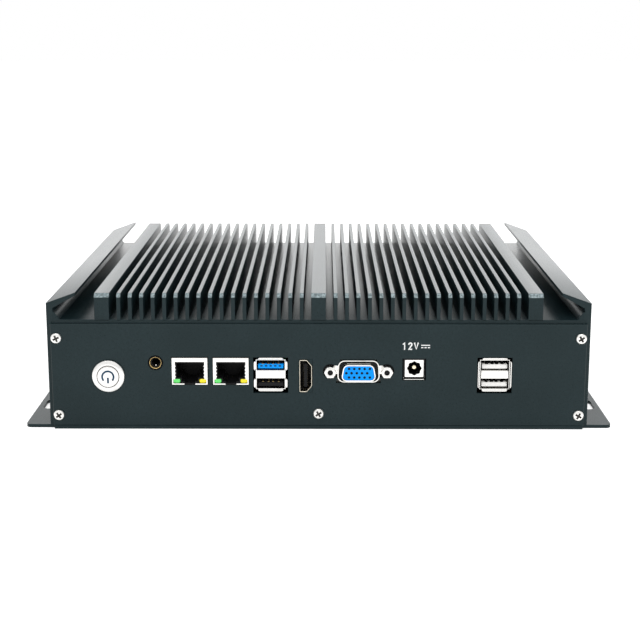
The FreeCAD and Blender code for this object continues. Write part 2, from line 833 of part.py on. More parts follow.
# ---------------------------------------------------------------------------------------------
# Power button: everything is turned about its own axis, with y = 0 at the panel's front face
# ---------------------------------------------------------------------------------------------
def at_button(thing):
    """Put a power button piece on its axis."""
    return place(thing, "button_x", FACE, "button_z")


def build_button_housing():
    """Bezel, threaded barrel and guide for the cap's stem, in one metal piece."""
    body = new_body("ButtonHousing")
    crown = "-(bezel_thick + gasket_thick)"
    bore = "cap_radius + cap_clear"
    shelf = "(cap_thick - cap_proud - bezel_thick - gasket_thick + cap_travel + travel_spare)"
    guide = "stem_radius + stem_clear"
    seat = "switch_radius + switch_clear"
    end = "barrel_length - gasket_thick - bezel_thick"
    turned(body, [(bore, crown), ("bezel_radius - bezel_edge", crown),
                  ("bezel_radius", crown + " + bezel_edge"), ("bezel_radius", "-gasket_thick"),
                  ("barrel_radius", "-gasket_thick"), ("barrel_radius", end),
                  (seat, end), (seat, shelf + " + guide_length"), (guide, shelf + " + guide_length"),
                  (guide, shelf), (bore, shelf)])
    node(at_button(body), "power_button_housing")
    gasket = new_body("ButtonGasket")
    outside = "bezel_radius - gasket_inset"
    inside = "barrel_radius + thread_gap"
    turned(gasket, [(inside, "-gasket_thick"), (outside, "-gasket_thick"), (outside, "0"), (inside, "0")])
    node(at_button(gasket), "power_button_gasket")
    nut = new_body("ButtonNut")
    pad(nut, "front", "panel_thick", "nut_thick", hexagon("nut_across"))
    pocket(nut, "front", "panel_thick", "nut_thick", circle("0", "0", "barrel_radius + thread_gap"))
    node(at_button(nut), "power_button_nut")


def symbol_shape(name):
    """Power symbol: a ring open at the bottom and an upright bar that stands in the opening."""
    crown = "-(bezel_thick + gasket_thick + cap_proud)"
    wide = rod(name + "Outer", ("0", crown, "0"), "symbol_radius", "symbol_deep")
    hole = rod(name + "Inner", ("0", crown, "0"), "symbol_radius - symbol_line", "symbol_deep")
    down = FreeCAD.Rotation(FreeCAD.Vector(1, 0, 0), -90)
    half = size("symbol_opening / 2")
    wide.Placement.Rotation = down.multiply(FreeCAD.Rotation(FreeCAD.Vector(0, 0, 1), 90 + half))
    bind(wide, "Angle", "360 - symbol_opening")
    ring = cut(name + "Ring", wide, hole)
    bar = block(name + "Bar", ("-symbol_line / 2", crown, "symbol_bar_top - symbol_bar"),
                ("symbol_line", "symbol_deep", "symbol_bar"))
    return group(name, [ring, bar])


def build_button_cap():
    """Pressed cap with its stem, and the symbol let into its face."""
    body = new_body("ButtonCapBlank")
    crown = "-(bezel_thick + gasket_thick + cap_proud)"
    back = crown + " + cap_thick"
    turned(body, [("0", crown), ("cap_radius - cap_edge", crown), ("cap_radius", crown + " + cap_edge"),
                  ("cap_radius", back), ("stem_radius", back), ("stem_radius", back + " + stem_length"),
                  ("0", back + " + stem_length")])
    node(at_button(cut("ButtonCap", body, symbol_shape("SymbolRecess"))), "power_button_cap")
    node(at_button(symbol_shape("Symbol")), "power_button_symbol")


def build_button_switch():
    """Switch insert at the back of the barrel and its four terminals."""
    end = "(barrel_length - gasket_thick - bezel_thick)"
    start = end + " - switch_length / 2"
    spot = ("button_x", FACE + " + " + start, "button_z")
    node(rod("SwitchInsert", spot, "switch_radius", "switch_length"), "power_button_switch")
    back = FACE + " + " + end + " + switch_length / 2"
    pins = [block("Terminal", ("button_x " + side + " terminal_x - terminal_width / 2", back,
                               "button_z " + up + " terminal_z - terminal_thick / 2"),
                  ("terminal_width", "terminal_length", "terminal_thick"))
            for side in ("-", "+") for up in ("-", "+")]
    node(group("Terminals", pins), "power_button_terminals")


# ---------------------------------------------------------------------------------------------
# Connectors: local y = 0 is the panel's front face; the network and data ones hang from z = 0
# ---------------------------------------------------------------------------------------------
def build_audio_jack():
    """Round jack with a metal sleeve in its nose."""
    body = new_body("AudioJack")
    shoulder = "panel_thick + audio_shoulder"
    front = "-audio_nose_proud"
    pad(body, "front", shoulder, "audio_deep - (" + shoulder + ")",
        rectangle("-audio_half_width", "-audio_drop", "audio_half_width", "board_low - audio_z"))
    pad(body, "front", front, "audio_nose_proud + " + shoulder, circle("0", "0", "audio_nose"))
    pocket(body, "front", front, "audio_bore_deep", circle("0", "0", "audio_bore"))
    pocket(body, "front", front, "audio_ring_deep", circle("0", "0", "audio_sleeve"))
    node(place(body, "audio_x", FACE, "audio_z"), "audio_jack_body")
    ring = new_body("AudioRing")
    outside = "audio_sleeve - audio_ring_gap"
    inside = "audio_sleeve - audio_ring"
    end = "audio_ring_deep - audio_nose_proud"
    front = "-audio_ring_proud"
    turned(ring, [(inside, front), (outside, front), (outside, end), (inside, end)])
    node(place(ring, "audio_x", FACE, "audio_z"), "audio_jack_ring")


def build_lan_jack(tag, centre):
    """One network jack, latch side down: sheet shield, plastic housing and eight spring contacts."""
    shield = new_body("LanShield" + tag)
    half = "lan_width / 2"
    pad(shield, "front", "-lan_proud", "lan_deep", rectangle("-" + half, "-lan_high", half, "0"))
    inner = half + " - lan_sheet"
    pocket(shield, "front", "lan_sheet - lan_proud", "lan_deep - lan_sheet",
           rectangle("-(" + inner + ")", "lan_sheet - lan_high", inner, "-lan_sheet"))
    frame = half + " - lan_frame_side"
    sill = "lan_frame_low - lan_high"
    lamp_top = "lan_frame_low - lan_high + lamp_high"
    right = [("latch_half_width", "-lan_high"), ("latch_half_width", sill), ("lamp_outer", sill),
             ("lamp_outer", lamp_top), (frame, lamp_top), (frame, "-lan_frame_top")]
    pocket(shield, "front", "-lan_proud", "lan_sheet", polygon(mirrored(right)))
    node(place(shield, centre, FACE, "board_low"), "lan_jack_" + tag + "_shield")
    housing = new_body("LanHousing" + tag)
    start = "lan_sheet - lan_proud"
    pad(housing, "front", start, "lan_deep - lan_sheet",
        rectangle("-(" + inner + ")", "lan_sheet - lan_high", inner, "-lan_sheet"))
    low = "lan_frame_low - lan_high"
    right = [("latch_half_width", low), ("latch_half_width", "-step_low"), ("step_half_width", "-step_low"),
             ("step_half_width", "-plug_low"), ("plug_half_width", "-plug_low"),
             ("plug_half_width", "-plug_top")]
    pocket(housing, "front", start, "plug_deep", polygon(mirrored(right)))
    for left in ("-lamp_outer", "lamp_outer - lamp_width"):
        lamp = rectangle(left, low, left + " + lamp_width", low + " + lamp_high")
        pocket(housing, "front", start, "lamp_deep", lamp)
    node(place(housing, centre, FACE, "board_low"), "lan_jack_" + tag + "_housing")
    contacts = new_body("LanContacts" + tag)
    back = start + " + plug_deep"
    first = "-(lan_ways - 1) / 2 * lan_pitch - lan_contact / 2"
    wire = pad(contacts, "side", first, "lan_contact", polygon([
        ("lan_contact_front", "-plug_top"), ("lan_contact_front", "-plug_top - lan_contact"),
        (back, "-plug_top - lan_contact_drop"), (back, "-plug_top - lan_contact_drop + lan_contact"),
        ("lan_contact_front + lan_contact_foot", "-plug_top")]))
    row_of(contacts, wire, "x", "lan_pitch", "lan_ways")
    node(place(contacts, centre, FACE, "board_low"), "lan_jack_" + tag + "_contacts")


def build_lan_lamps():
    """Indicator lenses in the lower corners of both network jacks."""
    start = FACE + " + lan_sheet - lan_proud"
    level = "board_low + lan_frame_low - lan_high"
    for colour, offset in (("green", "-lamp_outer"), ("yellow", "lamp_outer - lamp_width")):
        lens = ("lamp_width", "lamp_deep", "lamp_high")
        lamps = [block("Lamp", (centre + " + " + offset, start, level), lens)
                 for centre in ("lan_a_x", "lan_b_x")]
        node(group("Lamps", lamps), "lan_lamps_" + colour)


def data_insert(name, floor):
    """Plastic insert of one data slot: root block and tongue. `floor` is the slot's lower side."""
    body = new_body(name)
    half = "data_half_width - data_sheet"
    pad(body, "front", "data_root", "data_deep - data_root",
        rectangle("-(" + half + ")", floor, half, floor + " + data_slot_high"))
    pad(body, "front", "tongue_setback", "data_root - tongue_setback",
        rectangle("-tongue_half_width", floor + " + tongue_rise", "tongue_half_width",
                  floor + " + tongue_rise + tongue_thick"))
    return body


def data_contacts(name, centre, floors):
    """Four contact strips on the upper face of each tongue."""
    places = ("- data_contact_outer", "- data_contact_inner", "+ data_contact_inner", "+ data_contact_outer")
    front = FACE + " + tongue_setback + data_contact_setback"
    strip = ("data_contact", "data_contact_length", "data_contact_thick")
    strips = [block(name, (centre + " " + spot + " - data_contact / 2", front,
                           "board_low + " + floor + " + tongue_rise + tongue_thick"), strip)
              for floor in floors for spot in places]
    return group(name + "Group", strips)


def data_lip(edge, outwards):
    """Section of a lip that spreads from the shell's edge outwards and forwards: (depth, height) pairs."""
    out = edge + " " + outwards
    tip = out + " data_lip"
    return [("0", edge), ("-data_lip_proud", out + " (data_lip - data_sheet)"), ("-data_lip_proud", tip),
            ("-data_lip_proud + data_sheet", tip), ("data_lip_root", out + " data_sheet / 2"),
            ("data_lip_root", edge)]


def data_shell(tag, split_sides):
    """Shell of a data stack: a tube with two slots, the band between them, and lips at its mouth."""
    shell = new_body("DataShell" + tag)
    inner = "(data_half_width - data_sheet)"
    low = "(" + DATA_LOWER + " - data_sheet)"
    pad(shell, "front", "0", "data_deep", rectangle("-data_half_width", low, "data_half_width", "-data_drop"))
    slots = [rectangle("-" + inner, floor, inner, floor + " + data_slot_high")
             for floor in (DATA_LOWER, DATA_UPPER)]
    pocket(shell, "front", "0", "data_deep", *slots)
    pocket(shell, "front", "data_sheet", "data_deep - data_sheet",
           rectangle("-" + inner, DATA_UPPER + " - data_band + data_sheet",
                     inner, DATA_UPPER + " - data_sheet"))
    for edge, outwards in (("-data_drop", "+"), (low, "-")):
        pad(shell, "side", "-data_lip_half", "2 * data_lip_half", polygon(data_lip(edge, outwards)))
    bottom = low + " + data_lip_corner"
    top = "-data_drop - data_lip_corner"
    ranges = [(bottom, top)]
    if split_sides:
        ranges = [(bottom, DATA_LOWER + " + data_slot_high - data_sheet"),
                  (DATA_UPPER + " + data_sheet", top)]
    for start, stop in ranges:
        for edge, outwards in (("data_half_width", "+"), ("-data_half_width", "-")):
            section = [(out, ahead) for ahead, out in data_lip(edge, outwards)]
            pad(shell, "top", start, "(" + stop + ") - (" + start + ")", polygon(section))
    return shell


def build_data_stack(tag, centre, inserts, split_sides):
    """Two data slots in one shell. `inserts` names the upper and the lower insert's sub-parts."""
    node(place(data_shell(tag, split_sides), centre, FACE, "board_low"), "data_stack_" + tag + "_shell")
    pieces = [place(data_insert("DataInsert" + tag, floor), centre, FACE, "board_low")
              for floor in (DATA_UPPER, DATA_LOWER)]
    if len(inserts) == 1:
        node(group("DataInserts" + tag, pieces), inserts[0])
    else:
        for piece, label in zip(pieces, inserts):
            node(piece, label)
    contacts = data_contacts("DataContact" + tag, centre, (DATA_UPPER, DATA_LOWER))
    node(contacts, "data_stack_" + tag + "_contacts")


def video_outline(inset):
    """Upright digital video outline with its two bevelled corners on the right."""
    wide = "(video_half_width - " + inset + ")"
    high = "(video_half_high - " + inset + ")"
    return polygon([("-" + wide, "-" + high), (wide + " - video_bevel_x", "-" + high),
                    (wide, "-" + high + " + video_bevel_z"), (wide, high + " - video_bevel_z"),
                    (wide + " - video_bevel_x", high), ("-" + wide, high)])


def build_video():
    """Upright digital video socket: shell, body with its tongue, and contacts on both sides of the tongue."""
    shell = new_body("VideoShell")
    pad(shell, "front", "-video_proud", "video_shell_deep", video_outline("0"))
    pocket(shell, "front", "-video_proud", "video_shell_deep", video_outline("video_sheet"))
    node(place(shell, "video_x", FACE, "video_z"), "video_shell")
    body = new_body("VideoBody")
    root = "(video_shell_deep - video_proud)"
    pad(body, "front", root, "video_deep - " + root,
        rectangle("-video_half_width", "-video_half_high", "video_half_width", "board_low - video_z"))
    pad(body, "front", "video_tongue_setback", root + " - video_tongue_setback",
        rectangle("-video_tongue_thick / 2", "-video_tongue_half",
                  "video_tongue_thick / 2", "video_tongue_half"))
    node(place(body, "video_x", FACE, "video_z"), "video_body")
    contacts = new_body("VideoContacts")
    low = "-video_pitch * (video_contacts - 1) / 2 - video_contact / 2"
    for start in ("-video_tongue_thick / 2 - video_contact_thick", "video_tongue_thick / 2"):
        strip = pad(contacts, "side", start, "video_contact_thick",
                    rectangle("video_contact_start", low, "video_contact_end", low + " + video_contact"))
        row_of(contacts, strip, "z", "video_pitch", "video_contacts")
    node(place(contacts, "video_x", FACE, "video_z"), "video_contacts")


def build_analog():
    """Fifteen-way analog video socket, wide side down, with its two jackscrews."""
    shell = new_body("DsubShell")
    snout = trapezium("dsub_shell_width", "dsub_shell_high")
    pad(shell, "front", "-dsub_proud", "dsub_proud - dsub_root_proud", snout)
    dress(shell, "Fillet", "dsub_corner", lambda edge: along(edge, "y"))
    skirt = trapezium("dsub_root_width", "dsub_root_high")
    pad(shell, "front", "-dsub_root_proud", "dsub_root_proud + panel_thick", skirt)
    root = size("dsub_root_high / 2")
    dress(shell, "Fillet", "dsub_corner", lambda edge: along(edge, "y") and lies_at(edge, "z", root))
    flange = rectangle("-dsub_flange_width / 2", "-dsub_flange_high / 2",
                       "dsub_flange_width / 2", "dsub_flange_high / 2")
    pad(shell, "front", "panel_thick", "dsub_flange_thick", flange)
    ends = [circle(side + "jackscrew_spacing / 2", "0", "jackscrew_stud + jackscrew_clear")
            for side in ("-", "")]
    pocket(shell, "front", "panel_thick", "dsub_flange_thick", *ends)
    through = "dsub_proud + panel_thick + dsub_flange_thick"
    inner = trapezium("dsub_shell_width - 2 * dsub_sheet", "dsub_shell_high - 2 * dsub_sheet")
    pocket(shell, "front", "-dsub_proud", through, inner)
    node(place(shell, "dsub_x", FACE, "dsub_z"), "dsub_shell")

    insert = new_body("DsubInsert")
    margin = "2 * dsub_sheet + dsub_insert_gap"
    pad(insert, "front", "dsub_insert_back - dsub_proud", through + " - dsub_insert_back",
        trapezium("dsub_shell_width - (" + margin + ")", "dsub_shell_high - (" + margin + ")"))
    holes = []
    for row, shift in ((1, "0"), (0, "-dsub_pin_pitch / 2"), (-1, "0")):
        for column in range(-2, 3):
            across = str(column) + " * dsub_pin_pitch + dsub_pin_shift + " + shift
            holes.append(circle(across, str(row) + " * dsub_row_pitch", "dsub_pin_hole"))
    pocket(insert, "front", "dsub_insert_back - dsub_proud", "dsub_pin_deep", *holes)
    node(place(insert, "dsub_x", FACE, "dsub_z"), "dsub_insert")

    rear = new_body("DsubRear")
    start = "panel_thick + dsub_flange_thick"
    pad(rear, "front", start, "dsub_deep - " + start.replace("+", "-"),
        rectangle("-dsub_flange_width / 2", "-dsub_flange_high / 2",
                  "dsub_flange_width / 2", "board_low - dsub_z"))
    pocket(rear, "front", start, "jackscrew_stud_length", *ends)
    node(place(rear, "dsub_x", FACE, "dsub_z"), "dsub_rear_body")

    screw = new_body("Jackscrew")
    pad(screw, "front", "-jackscrew_proud", "jackscrew_proud + panel_thick", hexagon("jackscrew_across"))
    pad(screw, "front", "panel_thick", "jackscrew_stud_length", circle("0", "0", "jackscrew_stud"))
    pocket(screw, "front", "-jackscrew_proud", "jackscrew_bore_deep", circle("0", "0", "jackscrew_bore"))
    upright = (0, 0, 1)
    spots = [("dsub_x " + side + " jackscrew_spacing / 2", FACE, "dsub_z", upright, 0)
             for side in ("-", "+")]
    node(copies("Jackscrews", screw, spots), "dsub_jackscrews")


def build_dc_jack():
    """Power inlet: square housing, round bore with its centre pin, and a folded shield round its sides."""
    housing = new_body("DcHousing")
    outline = rectangle("-dc_half_width", "-dc_drop", "dc_half_width", "dc_drop")
    pad(housing, "front", "-dc_proud", "dc_deep", outline)
    pocket(housing, "front", "-dc_proud", "dc_bore_deep", circle("0", "0", "dc_bore"))
    node(place(housing, "dc_x", FACE, "dc_z"), "dc_jack_housing")
    tip = FACE + " - dc_proud + dc_bore_deep - dc_pin_length"
    node(rod("DcPin", ("dc_x", tip, "dc_z"), "dc_pin", "dc_pin_length"), "dc_jack_pin")
    shield = new_body("DcShield")
    inner = "(dc_half_width + dc_shield_gap)"
    outer = "(" + inner + " + dc_shield_thick)"
    top = "(board_low - dc_z)"
    pad(shield, "front", "panel_thick", "dc_deep - dc_proud - panel_thick", polygon(mirrored([
        (outer, top), (outer, "-dc_drop"), (inner, "-dc_drop"), (inner, top + " - dc_shield_thick")])))
    for left in ("-" + outer, inner):
        pad(shield, "front", "dc_shield_setback", "panel_thick - dc_shield_setback",
            rectangle(left, "-dc_drop", left + " + dc_shield_thick", "dc_drop"))
    node(place(shield, "dc_x", FACE, "dc_z"), "dc_jack_shield")


# ---------------------------------------------------------------------------------------------
# Build, check and write
# ---------------------------------------------------------------------------------------------
def build_all():
    """Build every sub-part."""
    build_heatsink()
    build_front_panel()
    build_rear_panel()
    build_bottom_cover()
    build_case_screws()
    build_mainboard()
    build_inside()
    build_button_housing()
    build_button_cap()
    build_button_switch()
    build_audio_jack()
    build_lan_jack("a", "lan_a_x")
    build_lan_jack("b", "lan_b_x")
    build_lan_lamps()
    build_data_stack("a", "data_a_x", ("data_stack_a_blue_tongue", "data_stack_a_black_tongue"), True)
    build_data_stack("b", "data_b_x", ("data_stack_b_tongues",), False)
    build_video()
    build_analog()
    build_dc_jack()
    DOC.recompute()


def check_document():
    """Stop if any object failed or any sub-part has no valid shape."""
    for thing in DOC.Objects:
        if "Invalid" in thing.State or "Error" in thing.State:
            raise ValueError(thing.Name + " failed: " + ", ".join(thing.State))
    for thing in NODES:
        if thing.Shape.isNull() or not thing.Shape.isValid() or not thing.Shape.Solids:
            raise ValueError(thing.Label + " has no valid solid")


def write_steps():
    """Write each sub-part to its own file."""
    os.makedirs("parts", exist_ok=True)
    for thing in NODES:
        thing.Shape.exportStep("parts/" + thing.Label + ".step")


build_all()
check_document()
write_steps()
print(len(NODES), "sub-parts written")
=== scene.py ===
"""Looks of a fanless industrial PC: finned aluminium case, port panel and connectors.

Sizes are millimetres in the part's own frame: +X right, +Z up, the port panel faces -Y and the origin
is the middle of the case's underside. Meshes are written in metres.
"""

import logging
import math
from dataclasses import dataclass
from enum import Enum
from typing import Iterable, Sequence

import bmesh
import bpy
from mathutils import Matrix, Vector


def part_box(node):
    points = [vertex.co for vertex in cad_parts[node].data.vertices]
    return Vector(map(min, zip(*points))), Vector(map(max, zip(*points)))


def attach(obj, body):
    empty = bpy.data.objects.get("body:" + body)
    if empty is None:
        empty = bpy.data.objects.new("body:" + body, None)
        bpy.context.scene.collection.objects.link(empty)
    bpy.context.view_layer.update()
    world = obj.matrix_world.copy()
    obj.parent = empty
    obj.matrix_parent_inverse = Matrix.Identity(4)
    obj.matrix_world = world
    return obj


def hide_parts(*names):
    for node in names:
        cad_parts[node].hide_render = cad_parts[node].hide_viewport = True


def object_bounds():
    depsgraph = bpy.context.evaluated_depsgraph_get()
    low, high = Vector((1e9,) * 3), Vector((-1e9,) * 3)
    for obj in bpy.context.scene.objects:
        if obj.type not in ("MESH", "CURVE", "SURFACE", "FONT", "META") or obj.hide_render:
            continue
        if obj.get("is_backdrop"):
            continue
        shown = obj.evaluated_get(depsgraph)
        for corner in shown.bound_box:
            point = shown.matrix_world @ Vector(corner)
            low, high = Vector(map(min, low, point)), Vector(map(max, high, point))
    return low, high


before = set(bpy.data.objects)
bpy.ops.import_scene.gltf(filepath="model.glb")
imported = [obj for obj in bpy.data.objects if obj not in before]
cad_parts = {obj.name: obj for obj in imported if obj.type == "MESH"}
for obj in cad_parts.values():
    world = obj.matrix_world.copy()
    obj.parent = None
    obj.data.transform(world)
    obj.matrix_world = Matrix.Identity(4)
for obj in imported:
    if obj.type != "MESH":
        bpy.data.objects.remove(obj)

LOG = logging.getLogger("fanless_pc")
MM = 0.001
TURN = 2 * math.pi
WELD = 1e-7
SIDES = (-1, 1)
Point = tuple[float, float]
Outline = list[Point]
Colour = tuple[float, float, float]


class Plane(Enum):
    """Planes that an outline is drawn in, as the directions of (across, up, depth)."""

    FRONT = ((1, 0, 0), (0, 0, 1), (0, 1, 0))
    SIDE = ((0, 1, 0), (0, 0, 1), (1, 0, 0))
    TOP = ((1, 0, 0), (0, 1, 0), (0, 0, 1))

    def matrix(self) -> Matrix:
        """Matrix that takes (across, up, depth) in millimetres to (x, y, z) in metres."""
        return Matrix.Scale(MM, 4) @ Matrix(self.value).transposed().to_4x4()


class Slot(str, Enum):
    """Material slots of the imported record."""

    ALUMINIUM = "aluminium_dark"
    SHEET = "sheet_dark"
    SCREW = "screw_nickel"
    SWITCH = "switch_steel"
    SYMBOL = "switch_symbol"
    SEAL = "seal_rubber"
    SHELL = "connector_steel"
    BLACK = "plastic_black"
    BLUE = "plastic_blue"
    WHITE = "plastic_white"
    GREEN_LAMP = "lamp_green"
    YELLOW_LAMP = "lamp_yellow"
    CONTACT = "contact_gold"
    BOARD = "board_green"
    PILLAR = "pillar_brass"
    CHIP = "chip_black"
    PAD = "pad_grey"
    BLOCK = "block_aluminium"


class Body(str, Enum):
    """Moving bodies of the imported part."""

    CASE = "case"
    BUTTON = "power_button"


@dataclass(frozen=True)
class Span:
    """Box of a CAD node, in millimetres."""

    low: Vector
    high: Vector

    @classmethod
    def of(cls, node: str) -> "Span":
        """Box of the named CAD node."""
        return cls(*(Vector(value / MM for value in corner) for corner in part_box(node)))

    @property
    def middle(self) -> Vector:
        """Middle of the box."""
        return (self.low + self.high) / 2

    def face(self, spare: float = 0.0) -> "Outline":
        """Outline of the box seen from the front, grown by spare on every side."""
        return box_outline(self.low.x - spare, self.low.z - spare, self.high.x + spare, self.high.z + spare)


# ---------------------------------------------------------------------------------------------
# Outlines
# ---------------------------------------------------------------------------------------------
def moved(outline: Iterable[Point], across: float, up: float) -> Outline:
    """Outline shifted by (across, up)."""
    return [(u + across, v + up) for u, v in outline]


def box_outline(left: float, low: float, right: float, high: float) -> Outline:
    """Rectangle from its lower left to its upper right corner."""
    return [(left, low), (right, low), (right, high), (left, high)]


def around(across: float, up: float, half_wide: float, half_high: float) -> Outline:
    """Rectangle about (across, up)."""
    return box_outline(across - half_wide, up - half_high, across + half_wide, up + half_high)


def polar(radius: float, turn: float) -> Point:
    """Point at a distance and an angle from the origin."""
    return radius * math.cos(turn), radius * math.sin(turn)


def round_outline(radius: float, steps: int = 32, across: float = 0.0, up: float = 0.0) -> Outline:
    """Circle about (across, up)."""
    return moved([polar(radius, TURN * k / steps) for k in range(steps)], across, up)


def flipped(outline: Outline) -> Outline:
    """Mirror image of an outline, in the opposite order."""
    return [(-across, up) for across, up in reversed(outline)]


def inset(outline: Outline, distance: float) -> Outline:
    """Move every edge of a convex or gently hollow outline inwards.

    Args:
        outline: anticlockwise corners.
        distance: how far the edges move to the left of their direction.

    Returns:
        The same number of corners, further in.
    """
    corners: Outline = []
    for k, corner in enumerate(outline):
        here = Vector(corner)
        before = (here - Vector(outline[k - 1])).normalized()
        after = (Vector(outline[(k + 1) % len(outline)]) - here).normalized()
        first, second = Vector((-before.y, before.x)), Vector((-after.y, after.x))
        reach = (first + second) / max(1e-6, 1 + first.dot(second))
        corners.append(tuple(here + reach * distance))
    return corners


def rounded(outline: Outline, radius: float, steps: int = 4) -> Outline:
    """Round every corner of an outline.

    Args:
        outline: corners in order.
        radius: radius of the rounding.
        steps: faces in each corner.

    Returns:
        Outline with steps + 1 points for each corner.
    """
    points: Outline = []
    for k, corner in enumerate(outline):
        here = Vector(corner)
        back = (Vector(outline[k - 1]) - here).normalized()
        ahead = (Vector(outline[(k + 1) % len(outline)]) - here).normalized()
        half = math.acos(max(-1.0, min(1.0, back.dot(ahead)))) / 2
        centre = here + (back + ahead).normalized() * (radius / math.sin(half))
        start, end = (here + way * (radius / math.tan(half)) - centre for way in (back, ahead))
        turn = -start.angle_signed(end) / steps
        points += [tuple(centre + Matrix.Rotation(turn * step, 2) @ start) for step in range(steps + 1)]
    return points


def threaded(radius: float, deep: float, pitch: float, start: float, end: float) -> Outline:
    """Profile of the ridges of a thread.

    Args:
        radius: outer radius.
        deep: depth of the ridges.
        pitch: the least distance between them.
        start: depth where the thread starts.
        end: depth where it ends.

    Returns:
        Points of (radius, depth).
    """
    count = max(1, int(abs(end - start) / pitch))
    step = (end - start) / count
    ridges = [(radius - deep * (1 - k % 2), start + step * k / 2) for k in range(2 * count)]
    return ridges + [(radius - deep, end)]


# ---------------------------------------------------------------------------------------------
# Objects and pieces
# ---------------------------------------------------------------------------------------------
def placed(name: str, data: bpy.types.ID) -> bpy.types.Object:
    """Make an object and link it to the scene.

    Args:
        name: the object's name.
        data: its mesh, lamp or camera.

    Returns:
        The object.
    """
    made = bpy.data.objects.new(name, data)
    bpy.context.scene.collection.objects.link(made)
    return made


def baked(made: bpy.types.Object) -> bpy.types.Mesh:
    """Apply an object's modifiers and remove the object.

    Args:
        made: the object.

    Returns:
        Its final shape as a plain mesh.
    """
    bpy.context.view_layer.update()
    mesh = bpy.data.meshes.new_from_object(made.evaluated_get(bpy.context.evaluated_depsgraph_get()))
    made.modifiers.clear()
    bpy.data.objects.remove(made)
    return mesh


class Piece:
    """A piece in the making: the shapes added to it become one object."""

    def __init__(self, name: str, slot: Slot, material: bpy.types.Material, body: Body = Body.CASE) -> None:
        """Start an empty piece.

        Args:
            name: the object's name.
            slot: the material slot it belongs to; stored, but not used.
            material: its finish.
            body: the body it moves with.
        """
        self.name, self.slot, self.material, self.body = name, slot, material, body
        self.form = bmesh.new()

    def join(self, mesh: bpy.types.Mesh) -> "Piece":
        """Join a mesh in metres into the piece, and remove it.

        Args:
            mesh: the mesh.

        Returns:
            The piece.
        """
        self.form.from_mesh(mesh)
        bpy.data.meshes.remove(mesh)
        return self

    def plate(self, start: float, end: float, edge: float, *outlines: Outline,
              plane: Plane = Plane.FRONT, steps: int = 1) -> "Piece":
        """Add a plate with rounded edges.

        Args:
            start: where the plate begins, along the plane's depth.
            end: where it ends.
            edge: radius of its edges.
            outlines: its outline and then its holes.
            plane: the plane that they are drawn in.
            steps: extra faces in each edge.

        Returns:
            The piece.
        """
        curve = bpy.data.curves.new("outline", "CURVE")
        curve.dimensions = "2D"
        curve.fill_mode = "BOTH"
        curve.extrude = (end - start) / 2 - edge
        curve.bevel_depth = edge
        curve.bevel_resolution = steps
        curve.offset = -edge
        for number, outline in enumerate(outlines):
            area = sum(outline[k - 1][0] * outline[k][1] - outline[k][0] * outline[k - 1][1]
                       for k in range(len(outline)))
            clockwise = (area < 0) == (number == 0)
            spline = curve.splines.new("POLY")
            spline.points.add(len(outline) - 1)
            for point, (across, up) in zip(spline.points, reversed(outline) if clockwise else outline):
                point.co = (across, up, 0, 1)
            spline.use_cyclic_u = True
        holder = bpy.data.objects.new("outline", curve)
        mesh = bpy.data.meshes.new_from_object(holder)
        bpy.data.objects.remove(holder)
        bpy.data.curves.remove(curve)
        mesh.transform(plane.matrix() @ Matrix.Translation((0, 0, (start + end) / 2)))
        return self.join(mesh)

    def loft(self, sections: Sequence[tuple[Outline, float]], ring: bool = False, caps: bool = False,
             plane: Plane = Plane.FRONT) -> "Piece":
        """Join outlines with faces.

        Args:
            sections: outlines with the same number of points, each with its depth.
            ring: join the last outline to the first.
            caps: close the first and the last outline.
            plane: the plane that they are drawn in.

        Returns:
            The piece.
        """
        matrix = plane.matrix()
        count = len(sections[0][0])
        points = [tuple(matrix @ Vector((*point, depth))) for outline, depth in sections for point in outline]
        faces: list[tuple[int, ...]] = []
        for row in range(len(sections) - (0 if ring else 1)):
            here, above = row * count, (row + 1) % len(sections) * count
            faces += [(here + k, here + (k + 1) % count, above + (k + 1) % count, above + k)
                      for k in range(count)]
        if caps:
            faces += [tuple(range(count)), tuple(range(len(points) - count, len(points)))]
        mesh = bpy.data.meshes.new("loft")
        mesh.from_pydata(points, [], faces)
        return self.join(mesh)

    def tube(self, outer: Outline, inner: Outline, start: float, end: float) -> "Piece":
        """Add a straight tube between an outer and an inner outline, along the panel's depth."""
        return self.loft([(outer, start), (outer, end), (inner, end), (inner, start)], ring=True)

    def turned(self, profile: Sequence[Point], across: float = 0.0, up: float = 0.0, steps: int = 48,
               plane: Plane = Plane.FRONT) -> "Piece":
        """Turn a profile about an axis that stands on the plane.

        Args:
            profile: closed profile of (radius, depth); where its ends are on the axis, it makes a solid.
            across: where the axis is.
            up: where the axis is.
            steps: faces round the axis.
            plane: the plane.

        Returns:
            The piece.
        """
        hollow = max(profile[0][0], profile[-1][0]) > WELD
        return self.loft([(round_outline(radius, steps, across, up), depth) for radius, depth in profile],
                         ring=hollow, plane=plane)

    def object(self) -> bpy.types.Object:
        """Make an object of what is there, with its faces pointing outwards.

        Returns:
            The object.
        """
        bmesh.ops.remove_doubles(self.form, verts=self.form.verts, dist=WELD)
        bmesh.ops.dissolve_degenerate(self.form, edges=self.form.edges, dist=WELD)
        bmesh.ops.recalc_face_normals(self.form, faces=self.form.faces)
        mesh = bpy.data.meshes.new(self.name)
        self.form.to_mesh(mesh)
        self.form.free()
        return placed(self.name, mesh)

    def done(self, *replaces: str, sharp: float = 35.0, made: bpy.types.Object | None = None) -> None:
        """Give the piece its finish and shading, and let it ride on its body.

        Args:
            replaces: CAD nodes that it stands for.
            sharp: edges bent more than this many degrees stay sharp.
            made: the object, where it is made already.
        """
        made = made or self.object()
        mesh = made.data
        mesh.materials.clear()
        mesh.materials.append(self.material)
        mesh.shade_smooth()
        mesh.set_sharp_from_angle(angle=math.radians(sharp))
        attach(made, self.body.value)
        if replaces:
            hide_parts(*replaces)
        LOG.info("%s: %d faces, rides on %s", made.name, len(mesh.polygons), self.body.value)


